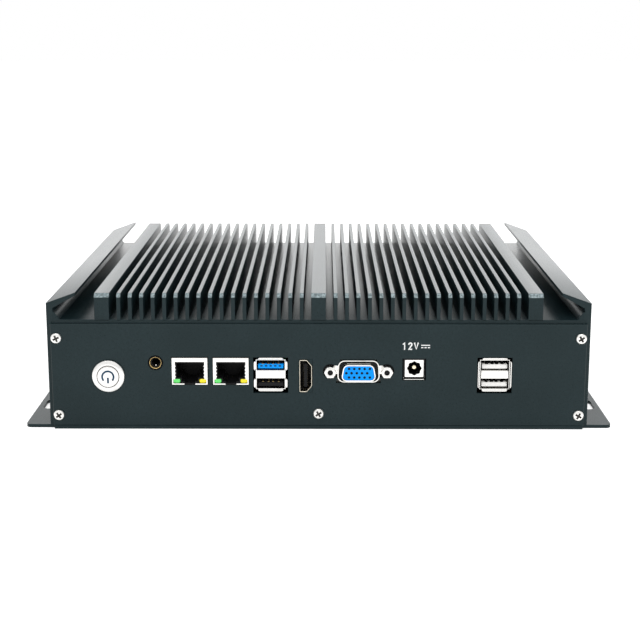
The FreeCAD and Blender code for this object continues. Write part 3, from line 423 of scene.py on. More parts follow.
# ---------------------------------------------------------------------------------------------
# Node trees
# ---------------------------------------------------------------------------------------------
class Graph:
    """A node tree, with short ways to add to it."""

    def __init__(self, tree: bpy.types.NodeTree) -> None:
        """Take a tree over."""
        self.tree = tree

    def feed(self, socket: bpy.types.NodeSocket, value: object) -> None:
        """Link an input, or set it.

        Args:
            socket: the input.
            value: a socket, a list of sockets, or a plain value; a colour has three parts.
        """
        if isinstance(value, (bpy.types.NodeSocket, list)):
            for source in value if isinstance(value, list) else [value]:
                self.tree.links.new(source, socket)
        else:
            socket.default_value = (*value, 1) if socket.type == "RGBA" else value

    def add(self, kind: str, inputs: dict[str | int, object] | None = None,
            **settings: object) -> bpy.types.Node:
        """Add a node.

        Args:
            kind: the node's type.
            inputs: what its inputs are fed, by name or number.
            settings: properties of the node itself.

        Returns:
            The node.
        """
        node = self.tree.nodes.new(kind)
        for key, value in settings.items():
            setattr(node, key, value)
        for key, value in (inputs or {}).items():
            self.feed(node.inputs[key], value)
        return node

    def math(self, operation: str, first: object, second: object = 0.0) -> bpy.types.NodeSocket:
        """Result of a Math node."""
        return self.add("ShaderNodeMath", {0: first, 1: second}, operation=operation).outputs[0]

    def spread(self, value: bpy.types.NodeSocket, low: float, high: float,
               start: float = 0.3, end: float = 0.7) -> bpy.types.NodeSocket:
        """Map a value that runs from start to end onto low to high."""
        return self.add("ShaderNodeMapRange", {"Value": value, "From Min": start, "From Max": end,
                                               "To Min": low, "To Max": high}).outputs[0]


class NodeTool(Graph):
    """A Geometry Nodes tree with named inputs, applied to one object at a time."""

    def __init__(self, name: str, inputs: dict[str, tuple[str, object]]) -> None:
        """Start a tree.

        Args:
            name: the tree's name.
            inputs: socket type and default of each input after the geometry; Finish is added.
        """
        super().__init__(bpy.data.node_groups.new(name, "GeometryNodeTree"))
        sockets = self.tree.interface
        kinds = {"Geometry": ("Geometry", None), **inputs, "Finish": ("Material", None)}
        for label, (kind, default) in kinds.items():
            socket = sockets.new_socket(label, in_out="INPUT", socket_type="NodeSocket" + kind)
            if default is not None:
                socket.default_value = default
        sockets.new_socket("Geometry", in_out="OUTPUT", socket_type="NodeSocketGeometry")
        self.source = self.add("NodeGroupInput").outputs

    def close(self, geometry: bpy.types.NodeSocket) -> None:
        """End the tree: real geometry with its material.

        Args:
            geometry: what the tree has made.
        """
        real = self.add("GeometryNodeRealizeInstances", {"Geometry": geometry}).outputs[0]
        ended = self.add("GeometryNodeSetMaterial", {"Geometry": real, "Material": self.source["Finish"]})
        self.add("NodeGroupOutput", {0: ended.outputs[0]})

    def apply(self, made: bpy.types.Object, name: str, **values: object) -> bpy.types.Object:
        """Run the tree on an object.

        Args:
            made: the object; it is removed.
            name: the result's name.
            values: the tree's inputs by name, with _ for a space.

        Returns:
            The result as a plain mesh object.
        """
        modifier = made.modifiers.new("repeat", "NODES")
        modifier.node_group = self.tree
        for item in self.tree.interface.items_tree:
            key = item.name.replace(" ", "_").lower()
            if item.in_out == "INPUT" and key in values:
                modifier[item.identifier] = values[key]
        return placed(name, baked(made))


def row_tool() -> NodeTool:
    """Tree that repeats a piece along x from First by Pitch, and on the mirrored side too if asked.

    Returns:
        The tree.
    """
    tool = NodeTool("row_of_pieces", {"Count": ("Int", 4), "First": ("Float", 0.0), "Pitch": ("Float", 0.001),
                                      "Both Sides": ("Bool", False)})
    source = tool.source
    first, pitch = (tool.add("ShaderNodeCombineXYZ", {0: source[key]}).outputs[0]
                    for key in ("First", "Pitch"))
    line = tool.add("GeometryNodeMeshLine", {"Count": source["Count"], "Start Location": first,
                                             "Offset": pitch}, mode="OFFSET").outputs[0]
    other = tool.add("GeometryNodeTransform", {"Geometry": line, "Scale": (-1, 1, 1)}).outputs[0]
    both = tool.add("GeometryNodeJoinGeometry", {0: [line, other]}).outputs[0]
    chosen = tool.add("GeometryNodeSwitch", {"Switch": source["Both Sides"], "False": line, "True": both},
                      input_type="GEOMETRY").outputs[0]
    tool.close(tool.add("GeometryNodeInstanceOnPoints", {
        "Points": chosen, "Instance": source["Geometry"]}).outputs[0])
    return tool


def spots_tool() -> NodeTool:
    """Tree that sets a fastener on every point, turned by Facing and then about itself by chance.

    Returns:
        The tree.
    """
    tool = NodeTool("fasteners_on_spots", {"Fastener": ("Object", None), "Facing": ("Vector", None),
                                           "Most Turn": ("Float", 3.1), "Seed": ("Int", 3)})
    source = tool.source
    master = tool.add("GeometryNodeObjectInfo", {"Object": source["Fastener"]}).outputs["Geometry"]
    spots = tool.add("GeometryNodeInstanceOnPoints", {"Points": source["Geometry"], "Instance": master,
                                                      "Rotation": source["Facing"]}).outputs[0]
    chance = tool.add("FunctionNodeRandomValue", {"Seed": source["Seed"]}, data_type="FLOAT")
    low, high = [socket for socket in chance.inputs if socket.enabled and socket.name in ("Min", "Max")]
    tool.feed(low, 0.0)
    tool.feed(high, source["Most Turn"])
    spin = tool.add("ShaderNodeCombineXYZ", {2: next(socket for socket in chance.outputs if socket.enabled)})
    tool.close(tool.add("GeometryNodeRotateInstances", {
        "Instances": spots, "Rotation": spin.outputs[0], "Local Space": True}).outputs[0])
    return tool


class ShaderGraph(Graph):
    """A material's node tree, with what the finishes share."""

    def __init__(self, name: str) -> None:
        """Start a material.

        Args:
            name: the material's name.
        """
        self.material = bpy.data.materials.new(name)
        self.material.use_nodes = True
        super().__init__(self.material.node_tree)

    def place(self, stretch: Sequence[float] = (1, 1, 1),
              centre: Sequence[float] = (0, 0, 0)) -> bpy.types.NodeSocket:
        """Object coordinates, moved and then stretched.

        Args:
            stretch: factor along each axis.
            centre: what the origin is moved to, in millimetres.

        Returns:
            The coordinates.
        """
        coordinates = self.add("ShaderNodeTexCoord").outputs["Object"]
        shift = tuple(-across * factor * MM for across, factor in zip(centre, stretch))
        return self.add("ShaderNodeMapping", {"Vector": coordinates, "Location": shift,
                                              "Scale": tuple(stretch)}).outputs[0]

    def noise(self, vector: bpy.types.NodeSocket, scale: float, detail: float = 2.0) -> bpy.types.NodeSocket:
        """Noise from 0 to 1 at the given scale per metre."""
        return self.add("ShaderNodeTexNoise", {"Vector": vector, "Scale": scale,
                                               "Detail": detail}).outputs["Fac"]

    def tint(self, value: bpy.types.NodeSocket, dark: object, light: object) -> bpy.types.NodeSocket:
        """Colour between dark and light, each a colour or a socket."""
        return self.add("ShaderNodeMix", {0: value, 6: dark, 7: light}, data_type="RGBA").outputs[2]

    def bump(self, height: bpy.types.NodeSocket, deep: float,
             **over: bpy.types.NodeSocket) -> bpy.types.NodeSocket:
        """Normal of a relief that is deep millimetres, over another Normal if that is given."""
        return self.add("ShaderNodeBump", {"Height": height, "Distance": deep * MM, "Strength": 1.0,
                                           **over}).outputs[0]

    def set(self, **values: object) -> None:
        """Feed the shader's inputs, named with _ for a space."""
        for key, value in values.items():
            self.feed(self.tree.nodes["Principled BSDF"].inputs[key.replace("_", " ")], value)


# ---------------------------------------------------------------------------------------------
# Finishes
# ---------------------------------------------------------------------------------------------
@dataclass(frozen=True)
class Finish:
    """Base of the finishes: each makes one material."""

    name: str

    def make(self) -> bpy.types.Material:
        """Build the material.

        Returns:
            The material.
        """
        graph = ShaderGraph(self.name)
        self.paint(graph)
        return graph.material

    def paint(self, graph: ShaderGraph) -> None:
        """Set the shader of the graph up."""
        raise NotImplementedError


@dataclass(frozen=True)
class DarkAnodised(Finish):
    """Dark anodised aluminium: sandblasted grain under a glossy film, with faint draw lines."""

    dark: Colour = (0.0075, 0.0155, 0.018)
    light: Colour = (0.012, 0.0225, 0.026)
    sheen: Colour = (0.88, 1.0, 0.985)
    # Colour of the lighter zone on the fins' upper end corners
    bare: Colour = (0.30, 0.37, 0.39)
    draw: tuple[float, float, float] = (1, 0.02, 1)
    smooth: float = 0.26
    rough: float = 0.36
    relief: float = 0.011
    line_scale: float = 900
    grain_scale: float = 2600
    cloud_scale: float = 35
    lighter_from: Point | None = None
    lighter_soft: float = 0.05
    gap_scale: float = 1100

    def paint(self, graph: ShaderGraph) -> None:
        """Grain, drawn lines and soft clouds, and a lighter mottled colour on the fins' upper end corners.

        Args:
            graph: the material's graph.
        """
        plain = graph.place()
        lines = graph.noise(graph.place(self.draw), self.line_scale)
        grain = graph.noise(plain, self.grain_scale, 3)
        mixed = graph.math("MULTIPLY", lines, graph.noise(plain, self.cloud_scale))
        colour = graph.tint(graph.spread(mixed, 0, 1, 0.12, 0.4), self.dark, self.light)
        if self.lighter_from:
            colour = graph.tint(self.lighter_ends(graph), colour, self.bare)
        drawn = graph.bump(lines, self.relief / 2)
        graph.set(Base_Color=colour, Roughness=graph.spread(grain, self.smooth, self.rough), IOR=1.3,
                  Normal=graph.bump(grain, self.relief, Normal=drawn), Specular_Tint=self.sheen)

    def lighter_ends(self, graph: ShaderGraph) -> bpy.types.NodeSocket:
        """Mask of the fins' upper end corners, where the colour turns lighter.

        Args:
            graph: the material's graph.

        Returns:
            One, with gaps, past the zone's start along y and z.
        """
        parts = graph.add("ShaderNodeSeparateXYZ", {0: graph.place()}).outputs
        along = graph.math("ABSOLUTE", parts["Y"])
        ends, tops = (graph.spread(value, 0, 1, start * MM, (start + self.lighter_soft) * MM)
                      for value, start in zip((along, parts["Z"]), self.lighter_from))
        gaps = graph.spread(graph.noise(graph.place(), self.gap_scale, 3), 0.35, 1, 0.38, 0.62)
        return graph.math("MULTIPLY", graph.math("MULTIPLY", ends, tops), gaps)


@dataclass(frozen=True)
class PlatedMetal(Finish):
    """Bright plated or bare metal with fine wiping marks and a few duller stains."""

    bright: Colour = (0.91, 0.90, 0.87)
    dull: Colour = (0.76, 0.74, 0.70)
    smooth: float = 0.16
    rough: float = 0.34
    marks: tuple[float, float, float] = (1, 0.1, 1)
    mark_scale: float = 1800
    stain_scale: float = 260
    relief: float = 0.002

    def paint(self, graph: ShaderGraph) -> None:
        """Stains in the colour, and wiping marks in the gloss and the relief.

        Args:
            graph: the material's graph.
        """
        marks = graph.noise(graph.place(self.marks), self.mark_scale, 3)
        stains = graph.noise(graph.place(), self.stain_scale, 3)
        graph.set(Base_Color=graph.tint(graph.spread(stains, 0, 1, 0.58, 0.72), self.bright, self.dull),
                  Metallic=1.0, Roughness=graph.spread(marks, self.smooth, self.rough),
                  Normal=graph.bump(marks, self.relief))


@dataclass(frozen=True)
class TurnedMetal(Finish):
    """Metal faced on a lathe: fine rings about an axis along y."""

    centre: tuple[float, float, float] = (0, 0, 0)
    bright: Colour = (0.86, 0.85, 0.83)
    dull: Colour = (0.74, 0.73, 0.71)
    smooth: float = 0.2
    rough: float = 0.36
    ring_scale: float = 5200
    stain_scale: float = 420
    relief: float = 0.003

    def paint(self, graph: ShaderGraph) -> None:
        """Stains in the colour, and rings in the gloss and the relief.

        Args:
            graph: the material's graph.
        """
        flat = graph.place((1, 0, 1), self.centre)
        reach = graph.add("ShaderNodeVectorMath", {0: flat}, operation="LENGTH").outputs["Value"]
        rings = graph.add("ShaderNodeTexNoise", {"W": reach, "Scale": self.ring_scale, "Detail": 2.0},
                          noise_dimensions="1D").outputs["Fac"]
        stains = graph.noise(graph.place(), self.stain_scale)
        graph.set(Base_Color=graph.tint(graph.spread(stains, 0, 1, 0.45, 0.75), self.bright, self.dull),
                  Metallic=1.0, Roughness=graph.spread(rings, self.smooth, self.rough),
                  Normal=graph.bump(rings, self.relief))


@dataclass(frozen=True)
class MouldedPlastic(Finish):
    """Moulded plastic with a fine spark-eroded grain and slight flow marks."""

    dark: Colour = (0.006, 0.006, 0.007)
    light: Colour = (0.010, 0.010, 0.011)
    smooth: float = 0.32
    rough: float = 0.5
    clear: float = 0.0
    gloss: float = 0.16
    glow: float = 0.0
    grain_scale: float = 5200
    flow_scale: float = 160
    relief: float = 0.004

    def paint(self, graph: ShaderGraph) -> None:
        """Flow marks in the colour, and grain in the gloss and the relief.

        Args:
            graph: the material's graph.
        """
        grain = graph.noise(graph.place(), self.grain_scale)
        flow = graph.noise(graph.place((1, 0.3, 1)), self.flow_scale, 3)
        graph.set(Base_Color=graph.tint(graph.spread(flow, 0, 1), self.dark, self.light), IOR=1.5,
                  Roughness=graph.spread(grain, self.smooth, self.rough),
                  Normal=graph.bump(grain, self.relief), Specular_IOR_Level=self.gloss,
                  Transmission_Weight=self.clear, Emission_Color=self.light, Emission_Strength=self.glow)


@dataclass(frozen=True)
class CircuitLaminate(Finish):
    """Solder mask over copper tracks: two tones of green with a slight relief."""

    mask: Colour = (0.006, 0.055, 0.022)
    copper: Colour = (0.014, 0.11, 0.045)
    track_scale: float = 420
    grain_scale: float = 3000
    relief: float = 0.02

    def paint(self, graph: ShaderGraph) -> None:
        """Tracks between cells in the colour and the relief, and grain in the gloss.

        Args:
            graph: the material's graph.
        """
        cells = graph.add("ShaderNodeTexVoronoi", {"Vector": graph.place(), "Scale": self.track_scale},
                          feature="DISTANCE_TO_EDGE", distance="EUCLIDEAN").outputs["Distance"]
        tracks = graph.spread(cells, 1, 0, 0.05, 0.09)
        grain = graph.noise(graph.place(), self.grain_scale)
        graph.set(Base_Color=graph.tint(tracks, self.mask, self.copper),
                  Roughness=graph.spread(grain, 0.25, 0.4), Normal=graph.bump(tracks, self.relief))


@dataclass(frozen=True)
class PrintedInk(Finish):
    """Screen-printed ink: matt, slightly uneven where the screen's mesh shows."""

    colour: Colour = (0.94, 0.95, 0.94)
    thinnest: float = 0.86
    mesh_scale: float = 7000
    relief: float = 0.003

    def paint(self, graph: ShaderGraph) -> None:
        """The screen's mesh in the colour, the gloss and the relief.

        Args:
            graph: the material's graph.
        """
        mesh = graph.noise(graph.place(), self.mesh_scale, 1)
        thin = tuple(part * self.thinnest for part in self.colour)
        graph.set(Base_Color=graph.tint(graph.spread(mesh, 0, 1), thin, self.colour),
                  Roughness=graph.spread(mesh, 0.55, 0.7), Normal=graph.bump(mesh, self.relief))


class Palette:
    """The finish of every material slot, each made once."""

    def __init__(self) -> None:
        """Set the finishes up."""
        lens = {"smooth": 0.08, "rough": 0.16, "clear": 0.1, "gloss": 0.5, "glow": 0.2}
        self.finishes: dict[Slot, Finish] = {
            Slot.ALUMINIUM: DarkAnodised("anodised_aluminium"),
            Slot.SHEET: DarkAnodised("coated_cover", draw=(1, 1, 1), smooth=0.4, rough=0.52),
            Slot.SCREW: PlatedMetal("nickel_plate", smooth=0.2, rough=0.36, marks=(1, 1, 1)),
            Slot.SWITCH: TurnedMetal("turned_steel", tuple(Span.of("power_button_housing").middle)),
            Slot.SYMBOL: MouldedPlastic("symbol_enamel", (0.012, 0.045, 0.09), (0.02, 0.065, 0.12)),
            Slot.SEAL: MouldedPlastic("seal_rubber", smooth=0.6, rough=0.8),
            Slot.SHELL: PlatedMetal("tin_plate"),
            Slot.BLACK: MouldedPlastic("black_moulding"),
            Slot.BLUE: MouldedPlastic("blue_moulding", (0.001, 0.30, 0.94), (0.002, 0.36, 1.0)),
            Slot.WHITE: MouldedPlastic("white_moulding", (0.86, 0.85, 0.83), (0.93, 0.92, 0.90)),
            Slot.GREEN_LAMP: MouldedPlastic("green_lens", (0.10, 0.66, 0.12), (0.17, 0.80, 0.20), **lens),
            Slot.YELLOW_LAMP: MouldedPlastic("yellow_lens", (0.80, 0.66, 0.01), (0.92, 0.80, 0.02), **lens),
            Slot.CONTACT: PlatedMetal("gold_flash", (0.90, 0.66, 0.28), (0.72, 0.48, 0.18)),
            Slot.BOARD: CircuitLaminate("board_laminate"),
            Slot.PILLAR: PlatedMetal("turned_brass", (0.78, 0.58, 0.27), (0.6, 0.42, 0.18)),
            Slot.CHIP: MouldedPlastic("chip_resin", (0.012, 0.012, 0.013), (0.02, 0.02, 0.022)),
            Slot.PAD: MouldedPlastic("pad_compound", (0.20, 0.21, 0.23), (0.26, 0.27, 0.29), 0.7, 0.85),
            Slot.BLOCK: PlatedMetal("milled_aluminium", (0.83, 0.84, 0.85), (0.68, 0.69, 0.70),
                                    marks=(0.05, 1, 1)),
        }
        self.made: dict[Finish, bpy.types.Material] = {}

    def of(self, finish: Finish | Slot) -> bpy.types.Material:
        """The material of a finish or of a slot, made on its first use.

        Args:
            finish: the finish, or the slot whose finish it is.

        Returns:
            The material.
        """
        if isinstance(finish, Slot):
            finish = self.finishes[finish]
        if finish not in self.made:
            self.made[finish] = finish.make()
        return self.made[finish]

    def dress_frame(self) -> None:
        """Give every CAD node the finish of its slot."""
        for name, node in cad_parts.items():
            for place in node.material_slots:
                place.material = self.of(Slot(place.material.name.split(".")[0]))
            LOG.info("%s: CAD node dressed", name)


# ---------------------------------------------------------------------------------------------
# Sub-assemblies
# ---------------------------------------------------------------------------------------------
@dataclass
class Assembly:
    """A group of pieces that are made and dressed together."""

    palette: Palette
    rows: NodeTool
    spots: NodeTool

    def build(self) -> None:
        """Make the pieces."""
        raise NotImplementedError

    def piece(self, name: str, slot: Slot, finish: Finish | None = None, body: Body = Body.CASE) -> Piece:
        """Start a piece in its slot's finish, or in another."""
        return Piece(name, slot, self.palette.of(finish or slot), body)

    def row(self, piece: Piece, first: float, pitch: float, count: int, node: str,
            both_sides: bool = False) -> None:
        """Repeat a piece along x with the row tree, and finish the result.

        Args:
            piece: the piece, drawn at x = 0.
            first: where the first one goes.
            pitch: distance from each to the next.
            count: how many there are.
            node: the CAD node that they stand for.
            both_sides: repeat the row on the mirrored side.
        """
        made = self.rows.apply(piece.object(), piece.name, count=count, first=first * MM, pitch=pitch * MM,
                               both_sides=both_sides, finish=piece.material)
        piece.done(node, made=made)


@dataclass
class Heatsink(Assembly):
    """Case top: hollow extrusion with its wings, and the row of cooling fins."""

    wall: float = 3.4
    wall_top: float = 56.9
    base_low: float = 44.5
    base_high: float = 49.55
    cover: float = 1.5
    foot_thick: float = 3.5
    foot_reach: float = 16.0
    wing_reach: float = 13.0
    wing_tip: float = 1.4
    wing_wall: float = 2.95
    wing_root: float = 2.3
    channel_corner: tuple[Point, ...] = ((0.0, 3.6), (0.9, 2.9), (1.9, 1.7), (2.85, 0.0))
    fin_thick: float = 1.7
    fin_pitch: float = 5.04
    fins_per_side: int = 17
    thick_fin: float = 6.5
    fin_top: float = 61.1
    fin_chamfer: float = 1.73
    fin_root: float = 0.4
    # Where the lighter zone on the fins' upper end corners starts, along y and z
    lighter_ends: Point = (100.8, 59.4)
    corner_screws: tuple[float, float, float] = (115.5, 41.6, 6.5)
    boss: float = 3.1
    bore: float = 1.5

    def __post_init__(self) -> None:
        """Read the extrusion's box."""
        self.span = Span.of("heatsink_body")

    def build(self) -> None:
        """Make the extrusion and the fins."""
        self.extrusion()
        self.fins()

    def profile(self) -> Outline:
        """Cross-section of the extrusion without its fins.

        Returns:
            Its outline.
        """
        half, top = self.span.high.x, self.span.high.z
        rim = half - self.wing_wall
        foot_top = self.cover + self.foot_thick
        right = [(half - self.wall, self.base_low), (half - self.wall, foot_top),
                 (half - self.foot_reach, foot_top), (half - self.foot_reach, self.cover),
                 (half, self.cover), (half, self.wall_top), (half - self.wing_reach, top),
                 (half - self.wing_reach, top - self.wing_tip), (rim, self.wall_top - self.wing_root),
                 *[(rim - inwards, self.base_high + rise) for inwards, rise in self.channel_corner]]
        return right + flipped(right)

    def extrusion(self) -> None:
        """Make the walls, base, wings and screw bosses."""
        start, end = self.span.low.y, self.span.high.y
        piece = self.piece("case_extrusion", Slot.ALUMINIUM).plate(start, end, 0.22, self.profile())
        across, *levels = self.corner_screws
        for side in SIDES:
            for level in levels:
                piece.turned([(self.bore, start), (self.boss, start), (self.boss, end), (self.bore, end)],
                             side * across, level, 20)
        piece.done("heatsink_body")

    def fin(self, thick: float, name: str) -> Piece:
        """One fin about x = 0: a plate with its two upper corners cut off.

        Args:
            thick: its thickness.
            name: the piece's name.

        Returns:
            The piece.
        """
        start, end, cut, top = self.span.low.y, self.span.high.y, self.fin_chamfer, self.fin_top
        root = self.base_high - self.fin_root
        side = [(start, root), (end, root), (end, top - cut), (end - cut, top), (start + cut, top),
                (start, top - cut)]
        piece = self.piece(name, Slot.ALUMINIUM, DarkAnodised("anodised_fins", lighter_from=self.lighter_ends))
        return piece.plate(-thick / 2, thick / 2, 0.14, side, plane=Plane.SIDE)

    def fins(self) -> None:
        """Make the thin fins on both sides of the thick one in the middle, and a thick one at each end."""
        gap = self.fin_pitch - self.fin_thick
        self.row(self.fin(self.fin_thick, "cooling_fins"), self.thick_fin / 2 + gap + self.fin_thick / 2,
                 self.fin_pitch, self.fins_per_side, "heatsink_body", both_sides=True)
        last = self.thick_fin + gap + self.fins_per_side * self.fin_pitch
        self.row(self.fin(self.thick_fin, "thick_fins"), -last, last, 3, "heatsink_body")


@dataclass
class CaseScrews(Assembly):
    """Domed cross-recess screws of both end panels, and flush ones under the bottom cover."""

    head: float = 2.55
    rim: float = 2.4
    head_high: float = 1.7
    shank: float = 1.45
    thread: float = 0.22
    pitch: float = 0.5
    tip: float = 0.4
    pan_reach: float = 9.0
    middle_level: float = 7.3
    flush_head: float = 2.65
    flush_reach: float = 4.9
    flush_inset: Point = (108.0, 85.0)
    pan_recess: float = 1.15
    flush_recess: float = 1.0
    arm: float = 1.62
    arm_wide: float = 0.46
    # Half-length and half-width of the dark cross of painted shade in each recess, and its level
    liner: Point = (1.3, 0.36)
    liner_level: float = -0.3
    most_turn: float = 3.1

    def recess(self, deep: float) -> bpy.types.Object:
        """Tapered cross that is cut out of a head whose top is at z = 0.

        Args:
            deep: how deep it goes.

        Returns:
            Its object.
        """
        piece = self.piece("recess", Slot.SCREW)
        tapers = ((0.6, 1.06, 1.0), (-deep * 0.35, 0.86, 1.0), (-deep, 0.42, 0.8))
        for order in SIDES:
            halves = [((self.arm * long, self.arm_wide * wide)[::-order], level)
                      for level, long, wide in tapers]
            piece.loft([(around(0, 0, *half), level) for half, level in halves], caps=True, plane=Plane.TOP)
        return piece.object()

    def fastener(self, head: Outline, threads: Point, end: Outline, deep: float) -> bpy.types.Object:
        """Screw along z with the top of its head at z = 0 and a cross recess in it.

        Args:
            head: profile of the head.
            threads: levels where the thread starts and ends.
            end: profile of the end.
            deep: how deep the recess is.

        Returns:
            Its object.
        """
        profile = head + threaded(self.shank, self.thread, self.pitch, *threads) + end
        blank = self.piece("blank", Slot.SCREW).turned(profile, steps=32, plane=Plane.TOP).object()
        cut = blank.modifiers.new("recess", "BOOLEAN")
        cut.operation = "DIFFERENCE"
        cut.object = self.recess(deep)
        cut.use_self = True
        tool = cut.object
        mesh = baked(blank)
        bpy.data.objects.remove(tool)
        return placed("fastener", mesh)

    def cross(self) -> bpy.types.Object:
        """Dark cross that lies in a recess: painted shade, with some soot.

        Returns:
            Its object.
        """
        arm, wide = self.liner
        corners = [(wide, -arm), (wide, -wide), (arm, -wide), (arm, wide), (wide, wide), (wide, arm)]
        outline = corners + [(-across, -up) for across, up in corners]
        return self.piece("liner", Slot.SCREW).plate(
            self.liner_level - 0.2, self.liner_level, 0.05, outline, plane=Plane.TOP).object()

    def place(self, master: bpy.types.Object, node: str, places: Sequence[Sequence[float]], tilt: float,
              name: str, seed: int) -> None:
        """Set a master screw on its places with a dark cross of painted shade and soot in each recess, and
        finish the results.

        Args:
            master: the screw.
            node: the CAD node that the screws stand for.
            places: where they go.
            tilt: their turn about x.
            name: the result's name.
            seed: seed of their turns about their own axes.
        """
        # Painted shade and soot: a dark metal for the cross deep in each recess
        shade_and_soot = PlatedMetal("recess_soot", (0.05, 0.048, 0.045), (0.02, 0.02, 0.02), 0.4, 0.6)
        liner = self.cross()
        for fastener, piece, nodes in ((master, self.piece(name, Slot.SCREW), [node]),
                                       (liner, self.piece(name + "_recesses", Slot.SCREW, shade_and_soot), [])):
            mesh = bpy.data.meshes.new("spots")
            mesh.from_pydata([tuple(Vector(place) * MM) for place in places], [], [])
            made = self.spots.apply(placed("spots", mesh), piece.name, fastener=fastener,
                                    facing=(tilt, 0.0, 0.0), most_turn=self.most_turn, seed=seed,
                                    finish=piece.material)
            piece.done(*nodes, sharp=40, made=made)
        bpy.data.objects.remove(liner)

    def build(self) -> None:
        """Make the screws of the front, the rear and the bottom."""
        rim, high, reach = self.rim, self.head_high, self.pan_reach
        dome = [(0.0, 0.0), (1.2, -0.05), (1.75, -0.2), (2.15, -0.52), (rim, -1.0), (rim, 0.12 - high),
                (rim - 0.12, -high), (self.shank, -high)]
        end = -high - reach - self.tip
        threads = (-high - self.tip, -high - reach)
        master = self.fastener(dome, threads, [(0.9, end), (0.0, end)], self.pan_recess)
        for place, tilt, seed in (("front", math.pi / 2, 4), ("rear", -math.pi / 2, 9)):
            node = place + "_panel_screws"
            low, high = Span.of(node).low, Span.of(node).high
            depth = low.y if place == "front" else high.y
            places = [(side * (high.x - self.head), depth, level)
                      for side in SIDES for level in (low.z + self.head, high.z - self.head)]
            places.append((0.0, depth, self.middle_level))
            self.place(master, node, places, tilt, place + "_panel_fasteners", seed)
        bpy.data.objects.remove(master)
        cone = [(0.0, 0.0), (self.flush_head - 0.1, 0.0), (self.flush_head, -0.12), (self.shank, -1.35)]
        master = self.fastener(cone, (-1.5, -self.flush_reach), [(0.0, -self.flush_reach)],
                               self.flush_recess)
        across, along = self.flush_inset
        places = [(side * across, place, 0) for side in SIDES for place in (-along, 0, along)]
        self.place(master, "bottom_cover_screws", places, math.pi, "cover_fasteners", 5)
        bpy.data.objects.remove(master)


@dataclass
class PowerButton(Assembly):
    """Metal push-button: bezel with its threaded barrel, sprung cap and inlaid power symbol."""

    bezel: float = 7.2
    bezel_thick: float = 1.6
    barrel: float = 5.9
    bore: float = 4.98
    guide: float = 2.2
    shelf_from_front: float = 7.0
    guide_length: float = 6.5
    cap: float = 4.76
    cap_thick: float = 4.5
    stem: float = 2.0
    symbol: float = 2.95
    line: float = 0.84
    opening: float = 96.0
    bar_top: float = -0.3
    inlay: float = 0.28
    sharp: float = 28.0
    steps: int = 96

    def __post_init__(self) -> None:
        """Find the button's axis."""
        middle = Span.of("power_button_housing").middle
        self.axis = (middle.x, middle.z)

    def build(self) -> None:
        """Make the housing, the cap and the symbol."""
        self.housing()
        self.press_cap()
        self.power_symbol()

    def housing(self) -> None:
        """Make the bezel with rounded edges, the threaded barrel and the guide."""
        span = Span.of("power_button_housing")
        front, end, bezel, bore, guide = span.low.y, span.high.y, self.bezel, self.bore, self.guide
        shelf, back = front + self.shelf_from_front, front + self.bezel_thick
        stop = shelf + self.guide_length
        edge = [(bezel - 1.5, front), (bezel - 0.5, front + 0.32), (bezel - 0.16, front + 0.52),
                (bezel - 0.03, front + 0.72), (bezel, front + 0.95), (bezel, back)]
        inner = [(bore + 0.5, end), (bore, end - 0.4), (bore, stop), (guide, stop), (guide, shelf),
                 (bore, shelf), (bore, front + 0.22), (bore + 0.05, front + 0.07), (bore + 0.16, front)]
        profile = edge + threaded(self.barrel, 0.3, 0.75, back, end) + inner
        piece = self.piece("button_bezel", Slot.SWITCH).turned(profile, *self.axis, self.steps)
        piece.done("power_button_housing", sharp=self.sharp)

    def press_cap(self) -> None:
        """Make the slightly crowned cap with its stem."""
        span = Span.of("power_button_cap")
        front, end, cap, stem = span.low.y, span.high.y, self.cap, self.stem
        back = front + self.cap_thick
        profile = [(0.0, front), (2.6, front + 0.01), (4.0, front + 0.04), (cap - 0.3, front + 0.09),
                   (cap - 0.09, front + 0.17), (cap, front + 0.38), (cap, back), (stem, back),
                   (stem, end - 0.3), (stem - 0.3, end), (0.0, end)]
        piece = self.piece("button_cap", Slot.SWITCH, body=Body.BUTTON)
        piece.turned(profile, *self.axis, self.steps).done("power_button_cap", sharp=self.sharp)

    def power_symbol(self) -> None:
        """Make the open ring and the bar that are inlaid in the cap."""
        front = Span.of("power_button_symbol").low.y - 0.005
        half, steps = math.radians(self.opening / 2), 40
        turns = [-math.pi / 2 + half + (TURN - 2 * half) * k / steps for k in range(steps + 1)]
        ring = [polar(self.symbol, turn) for turn in turns]
        ring += [polar(self.symbol - self.line, turn) for turn in reversed(turns)]
        bar = rounded(box_outline(-self.line / 2, -self.symbol, self.line / 2, self.bar_top), 0.2)
        piece = self.piece("button_symbol", Slot.SYMBOL, body=Body.BUTTON)
        for outline in (ring, bar):
            piece.plate(front, front + self.inlay, 0.03, moved(outline, *self.axis))
        piece.done("power_button_symbol")


